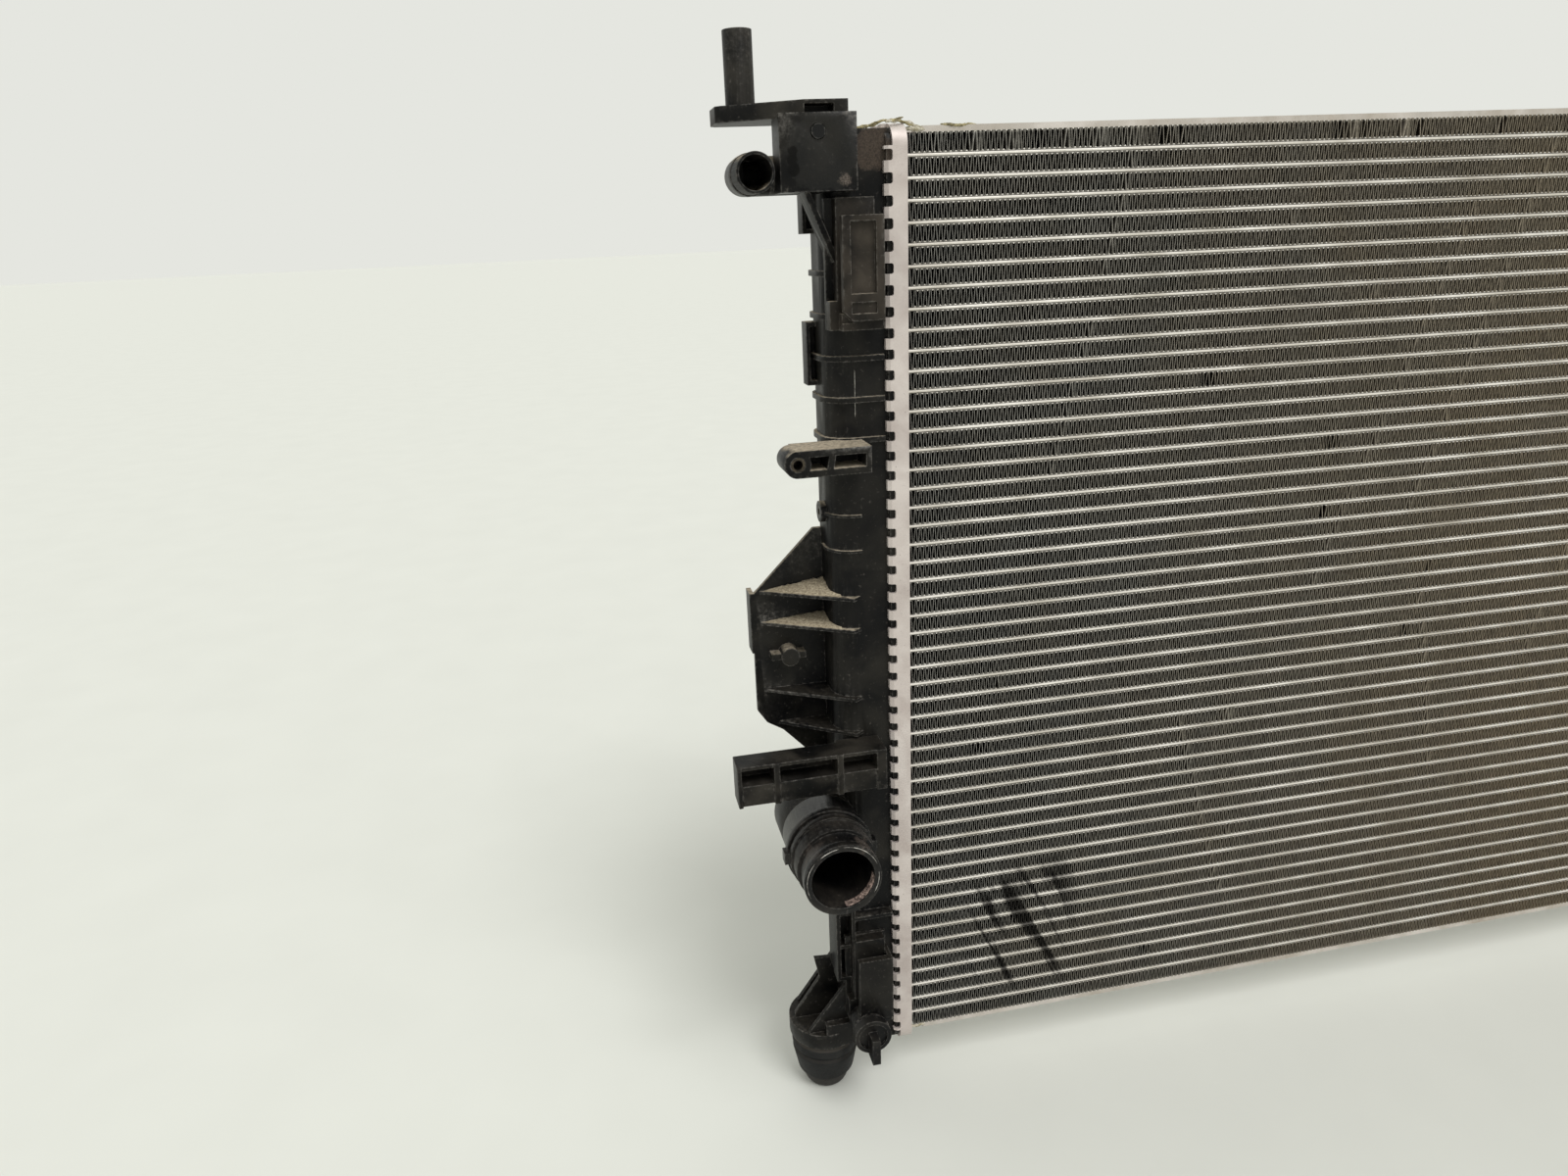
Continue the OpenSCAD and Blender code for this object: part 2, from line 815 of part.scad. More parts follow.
module shroud_clip_lower_left() {
  color(tank_black)
    left_side()
      difference() {
        shroud_clip(clip_lower_z, clip_lower_h);
        lower_walls();
        translate([-drain_out, 0, drain_z]) bar_y(drain_boss_r + 0.1, -drain_boss_front - 1, 0);
      }
}

module shroud_clip_upper_right() {
  color(tank_black)
    right_side()
      difference() {
        shroud_clip(clip_upper_z, clip_upper_h);
        shroud_clip_cut(clip_upper_z, clip_upper_h);
        pocket_brace();
      }
}

module shroud_clip_lower_right() {
  color(tank_black) right_side() shroud_clip(clip_lower_z, clip_lower_h);
}

// ---------- upper brackets ----------

// The bracket's arm carries the pin, and its leg drops into the pocket on the tank.
module upper_bracket() {
  leg_x0 = -pocket_out + leg_inset;
  leg_x1 = -pocket_out + pocket_w - leg_inset;
  difference() {
    union() {
      translate([0, 0, arm_z])
        linear_extrude(height = arm_t)
          polygon([
            [-75.5, -arm_d / 2], [-44, -leg_front], [leg_x1, -leg_front], [leg_x1, arm_d / 2],
            [-75.5, arm_d / 2], [-77.5, arm_d / 2 - 2], [-77.5, -arm_d / 2 + 2]
          ]);
      block([leg_x0, -leg_front, leg_z0], [leg_x1, -leg_front + leg_t, arm_z + 1]);
      translate([-pin_out, 0, arm_z + arm_t - 1]) cylinder(r = pin_r, h = pin_h + 1);
    }
    block(
      [leg_x1 - 18, -leg_front - 1, arm_z + arm_t - 4.8],
      [leg_x1 - 6, -leg_front + 8, arm_z + arm_t - 1.6]
    );
    translate([-stud_out, 0, stud_z]) bar_y(stud_r + 0.1, -leg_front - 1, -leg_front + leg_t + 1);
  }
}

module upper_bracket_left() {
  color(tank_black) left_side() upper_bracket();
}

module upper_bracket_right() {
  color(tank_black) right_side() upper_bracket();
}

// The stud that snaps the bracket into its pocket.
module snap_stud() {
  translate([-stud_out, 0, stud_z]) {
    bar_y(stud_r, -pocket_front - 0.6, -leg_front + leg_t);
    translate([0, -leg_front + leg_t, 0]) rotate([-90, 0, 0]) cylinder(r = stud_r + 0.8, h = 1.2);
  }
}

module snap_stud_left() {
  color(rubber_black) left_side() snap_stud();
}

module snap_stud_right() {
  color(rubber_black) right_side() snap_stud();
}

// ---------- isolators ----------

// A rubber isolator on its peg: two rings, a groove and the nose that enters the car's bracket.
module isolator() {
  translate([-peg_out, 0, 0])
    rotate_extrude()
      difference() {
        polygon([
          [0, iso_top], [isolator_r, iso_top], [isolator_r, iso_top - 9], [isolator_r - 0.8, iso_top - 10],
          [isolator_r, iso_top - 11], [isolator_r - 0.4, iso_top - 17], [isolator_r - 4, 2],
          [nose_r + 1, 0], [nose_r, 0], [nose_r, -nose_h + 3], [nose_r - 3, -nose_h], [0, -nose_h]
        ]);
        translate([-1, peg_end - 0.2]) square([peg_r + iso_play + 1, iso_top]);
      }
}

module isolator_left() {
  color(rubber_black) left_side() isolator();
}

module isolator_right() {
  color(rubber_black) right_side() isolator();
}

// ---------- inserts ----------

module shroud_insert() {
  translate([-boss_out, 0, boss_z])
    difference() {
      bar_y(insert_r, -boss_front, -boss_front + insert_len - 0.5);
      bar_y(tap_r, -boss_front - 1, -boss_front + insert_len - 2);
    }
}

module shroud_insert_left() {
  color(brass) left_side() shroud_insert();
}

module shroud_insert_right() {
  color(brass) right_side() shroud_insert();
}

module end_insert() {
  color(brass)
    left_side()
      translate([0, -3, end_boss_z])
        difference() {
          bar_x(end_insert_r, -tank_reach - 2.6, -tank_reach);
          bar_x(end_insert_r - 1, -tank_reach - 3, -tank_reach - 1);
        }
}

// ---------- drain ----------

module drain_plug() {
  cap_back = -drain_boss_front - ring_t;
  color(tank_black)
    left_side()
      translate([-drain_out, 0, drain_z]) {
        difference() {
          bar_y(cap_r, cap_back - cap_t, cap_back);
          bar_y(cap_r - 2.2, cap_back - cap_t - 1, cap_back - cap_t + 1.2);
        }
        bar_y(stem_r, cap_back - 1, cap_back + stem_len + ring_t);
        block([-2.1, cap_back - cap_t - 6, -wing_len], [2.1, cap_back - 1, 2.4]);
      }
}

module drain_ring() {
  color(rubber_black)
    left_side()
      translate([-drain_out, -drain_boss_front - ring_t / 2, drain_z])
        rotate([90, 0, 0])
          rotate_extrude()
            translate([stem_r + stem_gap + ring_t / 2, 0]) circle(r = ring_t / 2 - 0.02, $fn = 32);
}

tubes();
fins();
side_plate_top();
side_plate_bottom();
header_left();
header_right();
seal_left();
seal_right();
tank_left();
tank_right();
outlet_neck();
inlet_neck();
vent_neck();
channel_bracket();
shroud_clip_upper_left();
shroud_clip_lower_left();
shroud_clip_upper_right();
shroud_clip_lower_right();
upper_bracket_left();
upper_bracket_right();
snap_stud_left();
snap_stud_right();
isolator_left();
isolator_right();
shroud_insert_left();
shroud_insert_right();
end_insert();
drain_plug();
drain_ring();
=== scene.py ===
# %% [markdown]
# # A used car radiator
# The real object is an aluminium core of flat tubes and folded fins, brazed in an oven, with a
# moulded plastic tank crimped on each end. The measured solids come from the frame. This script
# gives them their surfaces, and makes again, in finer shape, what a solid can't hold: the folded
# fins, the softened edges of the mouldings, the rubber isolators and the dirt of a few years.

import bmesh
import bpy
import numpy as np
from mathutils import Matrix, Vector


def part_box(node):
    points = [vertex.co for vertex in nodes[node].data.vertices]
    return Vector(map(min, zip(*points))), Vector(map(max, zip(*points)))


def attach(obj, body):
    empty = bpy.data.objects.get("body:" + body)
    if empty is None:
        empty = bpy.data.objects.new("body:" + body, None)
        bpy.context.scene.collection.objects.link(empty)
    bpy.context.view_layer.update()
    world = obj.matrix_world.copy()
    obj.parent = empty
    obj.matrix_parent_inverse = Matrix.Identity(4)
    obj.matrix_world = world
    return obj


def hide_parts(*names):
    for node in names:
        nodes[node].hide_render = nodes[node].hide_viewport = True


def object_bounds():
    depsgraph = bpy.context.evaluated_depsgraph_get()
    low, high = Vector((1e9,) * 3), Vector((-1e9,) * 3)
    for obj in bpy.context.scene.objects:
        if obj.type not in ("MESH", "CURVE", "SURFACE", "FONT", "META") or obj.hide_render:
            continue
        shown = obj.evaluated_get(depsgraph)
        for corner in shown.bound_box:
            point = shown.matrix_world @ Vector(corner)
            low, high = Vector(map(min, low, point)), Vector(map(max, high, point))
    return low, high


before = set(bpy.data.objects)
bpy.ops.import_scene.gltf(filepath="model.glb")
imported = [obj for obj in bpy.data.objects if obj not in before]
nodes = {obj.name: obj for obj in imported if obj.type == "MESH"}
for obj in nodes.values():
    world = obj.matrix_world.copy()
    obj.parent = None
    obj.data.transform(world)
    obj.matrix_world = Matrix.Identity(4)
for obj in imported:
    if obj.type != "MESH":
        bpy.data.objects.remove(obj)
cad_box = [[float(v) for v in corner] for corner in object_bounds()]
MM = 0.001
print("CAD box, metres:", cad_box)

# %% [markdown]
# ## The camera
# A 24 mm lens stands close in front of the left tank and looks slightly down and to the right, so
# upright lines lean a little. The camera's matrix is written out from its three axes.

# %% Camera
camera_right = Vector((0.97844781, -0.20196739, -0.04300061))
camera_up = Vector((0.10451434, 0.30477353, 0.94667304))
camera_back = Vector((-0.17809163, -0.93076435, 0.31931348))
camera_place = Vector((-0.480691, -0.467199, 0.445301))

lens = bpy.data.cameras.new("camera")
lens.lens = 24.0
lens.sensor_width = 36.0
lens.sensor_fit = "HORIZONTAL"
lens.clip_start = 0.02
camera = bpy.data.objects.new("camera", lens)
turn = Matrix((camera_right, camera_up, camera_back)).transposed().to_4x4()
camera.matrix_world = Matrix.Translation(camera_place) @ turn
bpy.context.scene.collection.objects.link(camera)
bpy.context.scene.camera = camera
print("camera at", tuple(round(v, 3) for v in camera_place))

# %% [markdown]
# ## Colours and nodes
# Every colour below is a screen colour, as a painter would name it, and one function turns it into
# the linear numbers that the renderer adds and multiplies. One more function adds a shader node and
# hands back one of its outputs, so a material reads as a short list of steps.


# %% Helpers for colours and nodes
def linear(code):
    """Screen colour to linear: c / 12.92 below 0.04045, else ((c + 0.055) / 1.055) to the 2.4."""
    values = np.array([int(code[i : i + 2], 16) for i in (1, 3, 5)]) / 255.0
    low = values / 12.92
    high = ((values + 0.055) / 1.055) ** 2.4
    return (*[float(v) for v in np.where(values <= 0.04045, low, high)], 1.0)


def add(tree, kind, links=None, out=0, **settings):
    """Adds one node with its settings, links or sets its inputs, and returns the output asked for."""
    node = tree.nodes.new("ShaderNode" + kind)
    for name, value in settings.items():
        setattr(node, name, value)
    for key, value in (links or {}).items():
        if isinstance(value, bpy.types.NodeSocket):
            tree.links.new(value, node.inputs[key])
        else:
            node.inputs[key].default_value = value
    return node.outputs[out] if node.outputs else node


def per_size(size_mm):
    """Noise scale that gives blotches of this size: one over the size in metres."""
    return 1.0 / (size_mm * MM)


def start_material(name):
    """A new material with an empty tree. Returns the material, its tree and the object's place."""
    material = bpy.data.materials.new(name)
    material.use_nodes = True
    tree = material.node_tree
    tree.nodes.clear()
    return material, tree, add(tree, "TexCoord", out="Object")


def end_material(tree, inputs, height=None, relief_mm=0.0):
    """Adds the surface, with a bump of relief_mm where the height goes from 0 to 1."""
    if height is not None:
        inputs["Normal"] = add(tree, "Bump", {"Distance": relief_mm * MM, "Height": height})
    add(tree, "OutputMaterial", {"Surface": add(tree, "BsdfPrincipled", inputs)})


print("mid grey in linear numbers:", round(linear("#808080")[0], 3))


# %% [markdown]
# ## Floor, world and lights
# The object stands on a plain pale floor in even white light. The world gives most of it, and one
# very wide sun, from above and to the front left, gives the plastic its soft highlights and puts a
# faint shadow under the part. The floor is tuned to look as bright as the world behind it.

# %% Floor, world and lights
floor_mesh = bpy.data.meshes.new("floor")
reach = 40.0
floor_z = cad_box[0][2]
floor_mesh.from_pydata(
    [(side * reach, deep * reach, floor_z) for side, deep in ((-1, -1), (1, -1), (1, 1), (-1, 1))],
    [],
    [(0, 1, 2, 3)],
)
floor = bpy.data.objects.new("floor", floor_mesh)
bpy.context.scene.collection.objects.link(floor)
painted, tree, place = start_material("painted_floor")
mottle = add(tree, "TexNoise", {"Vector": place, "Scale": per_size(71.4), "Detail": 3.0})
paint = add(
    tree, "Mix", {0: mottle, 6: linear("#D0D1CB"), 7: linear("#D6D7D1")}, out=2, data_type="RGBA"
)
end_material(tree, {"Base Color": paint, "Roughness": 0.6, "Specular IOR Level": 0.2})
floor_mesh.materials.append(painted)

world = bpy.data.worlds.new("studio")
world.use_nodes = True
world.node_tree.nodes["Background"].inputs[0].default_value = linear("#E5E6E0")
world.node_tree.nodes["Background"].inputs[1].default_value = 1.0
bpy.context.scene.world = world
bpy.context.scene.view_settings.view_transform = "Standard"

sun_light = bpy.data.lights.new("soft_sun", "SUN")
sun_light.energy = 1.7
sun_light.angle = np.radians(26)
sun = bpy.data.objects.new("soft_sun", sun_light)
sun.matrix_world = Vector((-0.25, 0.62, -1.0)).to_track_quat("-Z", "Y").to_matrix().to_4x4()
bpy.context.scene.collection.objects.link(sun)
print("floor at", floor_z, "sun", sun_light.energy)

# %% [markdown]
# ## Glass-filled nylon with years of dust
# The tanks and brackets are moulded in black nylon filled with glass fibre, then run hot beside an
# engine. That leaves a dark satin surface. Four things sit on it: a fine grain from the mould, pale
# wear where hands and tools rubbed the edges, sandy road dirt caked on whatever faces up, and a few
# stains in known spots. The edge mask comes from the Bevel node, whose normal differs from the true
# one near an edge.


# %% Nylon
def rubbed_edges(tree, width_mm):
    """1 within about width_mm of an edge: one minus the dot product of true and rounded normals."""
    rounded = add(tree, "Bevel", {"Radius": width_mm * MM}, samples=4)
    true = add(tree, "NewGeometry", out="True Normal")
    dot = add(tree, "VectorMath", {0: rounded, 1: true}, "Value", operation="DOT_PRODUCT")
    return add(tree, "MapRange", {"Value": dot, "From Min": 0.99, "From Max": 0.86})


def stain(tree, place, below, centre_mm, radius_mm, ragged_mm, tint, amount, bare=0.15):
    """A ragged spot over a colour: distance from the centre, pushed about by noise, then a ramp.

    Between its crumbs only the share called bare of the spot is left."""
    centre = tuple(v * MM for v in centre_mm)
    far = add(tree, "VectorMath", {0: place, 1: centre}, "Value", operation="DISTANCE")
    torn = add(
        tree, "TexNoise", {"Vector": place, "Scale": per_size(6.667), "Detail": 6.0, "Roughness": 0.7}
    )
    push = 4 * ragged_mm * MM
    far = add(tree, "Math", {0: torn, 1: push, 2: far}, operation="MULTIPLY_ADD")
    edge = radius_mm * MM + push / 2
    soft = 0.25 * ragged_mm * MM
    spot = add(
        tree,
        "MapRange",
        {
            "Value": far,
            "From Min": edge - soft,
            "From Max": edge + soft,
            "To Min": amount,
            "To Max": 0.0,
        },
    )
    crumbs = add(
        tree, "TexNoise", {"Vector": place, "Scale": per_size(0.6667), "Detail": 4.0, "Roughness": 0.7}
    )
    crumbs = add(
        tree, "MapRange", {"Value": crumbs, "From Min": 0.38, "From Max": 0.62, "To Min": bare}
    )
    spot = add(tree, "Math", {0: spot, 1: crumbs}, operation="MULTIPLY")
    return add(tree, "Mix", {0: spot, 6: below, 7: linear(tint)}, out=2, data_type="RGBA")


def moulded_nylon(name, body, worn, caked, film, roughness, stains=(), shine=0.13, edge_share=0.55):
    """Black nylon: worn clouds, rubbed edges, a film of dust, caked dirt on top faces and stains.

    Caked is the share of upward faces under dirt, film the most dust elsewhere, shine the specular
    level, and edge_share how much of an edge is rubbed."""
    material, tree, place = start_material(name)
    up = add(tree, "SeparateXYZ", {0: add(tree, "TexCoord", out="Normal")}, "Z")
    cloud = add(
        tree, "TexNoise", {"Vector": place, "Scale": per_size(23.81), "Detail": 6.0, "Distortion": 0.5}
    )
    fine = add(
        tree, "TexNoise", {"Vector": place, "Scale": per_size(1.923), "Detail": 6.0, "Roughness": 0.68}
    )
    grain = add(tree, "TexNoise", {"Vector": place, "Scale": per_size(0.4167), "Detail": 2.0})
    patches = add(tree, "MapRange", {"Value": cloud, "From Min": 0.45, "From Max": 0.68})
    skin = add(tree, "Mix", {0: patches, 6: linear(body), 7: linear(worn)}, out=2, data_type="RGBA")
    specks = add(tree, "MapRange", {"Value": fine, "From Min": 0.6, "From Max": 0.72, "To Max": 0.35})
    skin = add(tree, "Mix", {0: specks, 6: skin, 7: linear("#6B6560")}, out=2, data_type="RGBA")
    scuffs = add(
        tree, "MapRange", {"Value": fine, "From Min": 0.42, "From Max": 0.62, "To Max": edge_share}
    )
    rubbed = add(tree, "Math", {0: rubbed_edges(tree, 0.8), 1: scuffs}, operation="MULTIPLY")
    skin = add(tree, "Mix", {0: rubbed, 6: skin, 7: linear("#8A8681")}, out=2, data_type="RGBA")
    for spot in stains:
        skin = stain(tree, place, skin, *spot)
    flat = add(tree, "MapRange", {"Value": up, "From Min": 0.55, "From Max": 0.9})
    heap = add(
        tree, "MapRange", {"Value": cloud, "From Min": 0.62 - 0.3 * caked, "From Max": 0.7 - 0.3 * caked}
    )
    torn = add(tree, "MapRange", {"Value": fine, "From Min": 0.35, "From Max": 0.6, "To Min": 0.35})
    height = add(tree, "SeparateXYZ", {0: place}, "Z")
    upper = add(
        tree, "MapRange", {"Value": height, "From Min": 0.245, "From Max": 0.26, "To Min": 0.04}
    )
    torn = add(tree, "Math", {0: torn, 1: upper}, operation="MULTIPLY")
    lies = add(tree, "Math", {0: flat, 1: heap}, operation="MULTIPLY")
    lies = add(tree, "Math", {0: lies, 1: torn}, operation="MULTIPLY")
    veil = add(tree, "MapRange", {"Value": cloud, "From Min": 0.4, "From Max": 0.75, "To Max": film})
    dirt = add(tree, "Math", {0: lies, 1: veil}, operation="MAXIMUM")
    colour = add(tree, "Mix", {0: dirt, 6: skin, 7: linear("#A99D8A")}, out=2, data_type="RGBA")
    dull = add(tree, "Math", {0: dirt, 1: 0.4, 2: roughness}, operation="MULTIPLY_ADD")
    dull = add(tree, "Math", {0: fine, 1: 0.2, 2: dull}, operation="MULTIPLY_ADD")
    height = add(tree, "Math", {0: grain, 1: 0.4, 2: fine}, operation="MULTIPLY_ADD")
    end_material(
        tree,
        {"Base Color": colour, "Roughness": dull, "Specular IOR Level": shine},
        height,
        0.09,
    )
    return material


# Each stain: centre, radius and raggedness in mm, tint, amount, and the share between its crumbs.
tank_stains = [
    ((-373.0, -28, 476), 15.0, 3.0, "#20201F", 0.8, 0.6),
    ((-385.2, -28, 477), 1.9, 1.4, "#020202", 1.0, 1.0),
    ((-385.8, -28, 474), 2.2, 1.4, "#020202", 1.0, 1.0),
    ((-385.4, -28, 470), 2.3, 1.4, "#020202", 1.0, 1.0),
    ((-364.0, -28, 466), 2.0, 3.0, "#8C7F75", 0.45),
    ((-349.0, -17, 478), 9.0, 4.0, "#5E5147", 0.6, 0.4),
]
neck_stains = [
    ((-391.0, -56, 170), 7.0, 5.0, "#4A423D", 0.6),
    ((-370.0, -57, 174), 5.0, 4.0, "#5E534C", 0.6),
]
tank_nylon = moulded_nylon("glass_filled_nylon", "#0A0A0B", "#151514", 0.9, 0.03, 0.3, tank_stains)
neck_nylon = moulded_nylon(
    "neck_nylon", "#0A0A0B", "#1A1817", 0.2, 0.03, 0.2, neck_stains, shine=0.22, edge_share=0.3
)
clip_nylon = moulded_nylon("clip_nylon", "#100E0D", "#25201D", 0.9, 0.09, 0.38)
channel_nylon = moulded_nylon("channel_nylon", "#0B0B0B", "#1C1B1A", 0.35, 0.07, 0.3)
bracket_nylon = moulded_nylon("bracket_nylon", "#0E0E0E", "#1A1A19", 0.3, 0.06, 0.36)
plug_nylon = moulded_nylon("plug_nylon", "#0F0F10", "#1B1B1B", 0.2, 0.04, 0.26)
stud_nylon = moulded_nylon("stud_nylon", "#050505", "#0B0B0B", 0.0, 0.0, 0.1, shine=0.25)
print("nylon finishes:", [material.name for material in bpy.data.materials if "nylon" in material.name])

# %% [markdown]
# ## Rubber
# The isolators are moulded EPDM rubber: matte, a little grey with bloom, lighter on faces that look
# up, partly from dust and partly as painted light from above, and scraped paler at the nose, which
# rubs in the car's support.


# %% Rubber
def rubber(name, body, bloom, dust_and_top_light_amount):
    """Matte rubber: grey bloom in clouds, powdery grain, tops lighter from dust and painted light."""
    material, tree, place = start_material(name)
    up = add(tree, "SeparateXYZ", {0: add(tree, "TexCoord", out="Normal")}, "Z")
    cloud = add(
        tree, "TexNoise", {"Vector": place, "Scale": per_size(14.29), "Detail": 5.0, "Distortion": 0.6}
    )
    powder = add(tree, "TexNoise", {"Vector": place, "Scale": per_size(0.9091), "Detail": 3.0})
    patches = add(tree, "MapRange", {"Value": cloud, "From Min": 0.4, "From Max": 0.7, "To Max": 0.8})
    colour = add(tree, "Mix", {0: patches, 6: linear(body), 7: linear(bloom)}, out=2, data_type="RGBA")
    # Dust and painted light from above: faces that look up are lightened smoothly with their slope.
    dust_and_top_light = add(
        tree, "MapRange", {"Value": up, "From Min": 0.2, "From Max": 0.9, "To Max": dust_and_top_light_amount}
    )
    colour = add(tree, "Mix", {0: dust_and_top_light, 6: colour, 7: linear("#8E8377")}, out=2, data_type="RGBA")
    low = add(tree, "SeparateXYZ", {0: place}, "Z")
    nose = add(
        tree,
        "MapRange",
        {"Value": low, "From Min": -0.0035, "From Max": -0.0008, "To Min": 0.35, "To Max": 0.0},
    )
    scraped = add(tree, "Math", {0: nose, 1: powder}, operation="MULTIPLY")
    colour = add(tree, "Mix", {0: scraped, 6: colour, 7: linear("#77726D")}, out=2, data_type="RGBA")
    dull = add(tree, "MapRange", {"Value": powder, "To Min": 0.55, "To Max": 0.8})
    end_material(
        tree, {"Base Color": colour, "Roughness": dull, "Specular IOR Level": 0.25}, powder, 0.05
    )
    return material


isolator_rubber = rubber("epdm_rubber", "#121213", "#262625", 0.3)
seal_rubber = rubber("seal_rubber", "#101010", "#1D1D1C", 0.1)
print("rubber finishes:", isolator_rubber.name, seal_rubber.name)

# %% [markdown]
# ## Brazed aluminium
# Cleaned aluminium comes out of the brazing oven pale and matte, with a faint crust of flux that
# turns pinkish grey with age. Black specks are pits and splashes. The side plates and tubes pick up
# brown road dirt, more of it towards the right, where more air came in.


# %% Aluminium
def oily_runs(tree, place):
    """Dark slanted runs low on the left: a noise drawn out along z, kept in a soft-edged patch."""
    axes = add(tree, "SeparateXYZ", {0: place}).node
    drawn = add(
        tree,
        "Mapping",
        {"Vector": place, "Scale": (1.0, 1000.0, 7.0), "Rotation": (0.0, -0.45, 0.0)},
        vector_type="TEXTURE",
    )
    streak = add(
        tree, "TexNoise", {"Vector": drawn, "Scale": per_size(8.333), "Detail": 4.0, "Distortion": 0.4}
    )
    streak = add(tree, "MapRange", {"Value": streak, "From Min": 0.5, "From Max": 0.6, "To Max": 0.9})
    across = add(tree, "Math", {0: axes.outputs["X"], 1: 0.27}, operation="ADD")
    across = add(tree, "Math", {0: across}, operation="ABSOLUTE")
    across = add(
        tree,
        "MapRange",
        {"Value": across, "From Min": 0.02, "From Max": 0.036, "To Min": 1.0, "To Max": 0.0},
    )
    height = add(tree, "Math", {0: axes.outputs["Z"], 1: 0.078}, operation="SUBTRACT")
    height = add(tree, "Math", {0: height}, operation="ABSOLUTE")
    height = add(
        tree,
        "MapRange",
        {"Value": height, "From Min": 0.03, "From Max": 0.046, "To Min": 1.0, "To Max": 0.0},
    )
    patch = add(tree, "Math", {0: across, 1: height}, operation="MULTIPLY")
    return add(tree, "Math", {0: patch, 1: streak}, operation="MULTIPLY")


def brazed_aluminium(name, clean, dull, dirt, dirt_amount, roughness, blotch_mm, shade=0.0):
    """Matte metal: flux clouds, dark pits, and dirt from a coarse noise that grows with x.

    Painted shade darkens faces that look up or down by the share called shade."""
    material, tree, place = start_material(name)
    cloud = add(
        tree,
        "TexNoise",
        {"Vector": place, "Scale": per_size(blotch_mm), "Detail": 6.0, "Distortion": 0.5},
    )
    speck = add(
        tree, "TexNoise", {"Vector": place, "Scale": per_size(1.613), "Detail": 5.0, "Roughness": 0.7}
    )
    coarse = add(
        tree, "TexNoise", {"Vector": place, "Scale": per_size(38.46), "Detail": 7.0, "Roughness": 0.66}
    )
    patches = add(tree, "MapRange", {"Value": cloud, "From Min": 0.36, "From Max": 0.66})
    colour = add(tree, "Mix", {0: patches, 6: linear(clean), 7: linear(dull)}, out=2, data_type="RGBA")
    pits = add(tree, "MapRange", {"Value": speck, "From Min": 0.63, "From Max": 0.7, "To Max": 0.6})
    colour = add(tree, "Mix", {0: pits, 6: colour, 7: linear("#4E4A47")}, out=2, data_type="RGBA")
    along = add(tree, "SeparateXYZ", {0: place}, "X")
    side = add(
        tree,
        "MapRange",
        {"Value": along, "From Min": -0.33, "From Max": 0.1, "To Min": 0.35, "To Max": 1.0},
    )
    blot = add(
        tree, "MapRange", {"Value": coarse, "From Min": 0.42, "From Max": 0.68, "To Max": dirt_amount}
    )
    blot = add(tree, "Math", {0: blot, 1: side}, operation="MULTIPLY")
    colour = add(tree, "Mix", {0: blot, 6: colour, 7: linear(dirt)}, out=2, data_type="RGBA")
    # Painted shade: faces that look up or down, a tube's flat sides between the fins, are darkened so
    # that only the rounded front stays bright.
    flat_face_shade = add(tree, "SeparateXYZ", {0: add(tree, "TexCoord", out="Normal")}, "Z")
    flat_face_shade = add(tree, "Math", {0: flat_face_shade}, operation="ABSOLUTE")
    flat_face_shade = add(tree, "MapRange", {"Value": flat_face_shade, "From Min": 0.35, "From Max": 0.8, "To Max": shade})
    colour = add(tree, "Mix", {0: flat_face_shade, 6: colour, 7: linear("#3A362F")}, out=2, data_type="RGBA")
    oil = oily_runs(tree, place)
    colour = add(tree, "Mix", {0: oil, 6: colour, 7: linear("#1A1613")}, out=2, data_type="RGBA")
    rough = add(tree, "Math", {0: blot, 1: 0.3, 2: roughness}, operation="MULTIPLY_ADD")
    end_material(
        tree,
        {"Base Color": colour, "Roughness": rough, "Metallic": 0.3, "Specular IOR Level": 0.35},
        speck,
        0.06,
    )
    return material


header_metal = brazed_aluminium("header_aluminium", "#D2C9C4", "#BCB1AC", "#8A7F79", 0.4, 0.5, 16.67)
plate_metal = brazed_aluminium("side_plate_aluminium", "#CFC8C2", "#B5AEA6", "#93846F", 0.85, 0.5, 20.0)
# The tubes take painted shade on their flat upper and lower faces.
tube_metal = brazed_aluminium(
    "tube_aluminium", "#F0EBE4", "#CEC8BE", "#8E8373", 0.62, 0.45, 25.0, shade=0.85
)
print("aluminium finishes:", header_metal.name, plate_metal.name, tube_metal.name)

# %% [markdown]
# ## Fin foil
# The fins are foil a tenth of a millimetre thick. Their faces are drawn nearly black, partly from
# dirt and partly as painted shade for the deep narrow gaps between the folds; their front edges are
# pale where the cut shows, and the brazing alloy leaves a whitish fillet where each fold meets a
# tube. They turn brown towards the right. Oily runs from an old leak darken one patch low down.


# %% Fin foil
pitch, core_bottom, louvre_pitch = 9.0, 25.0, 2.567


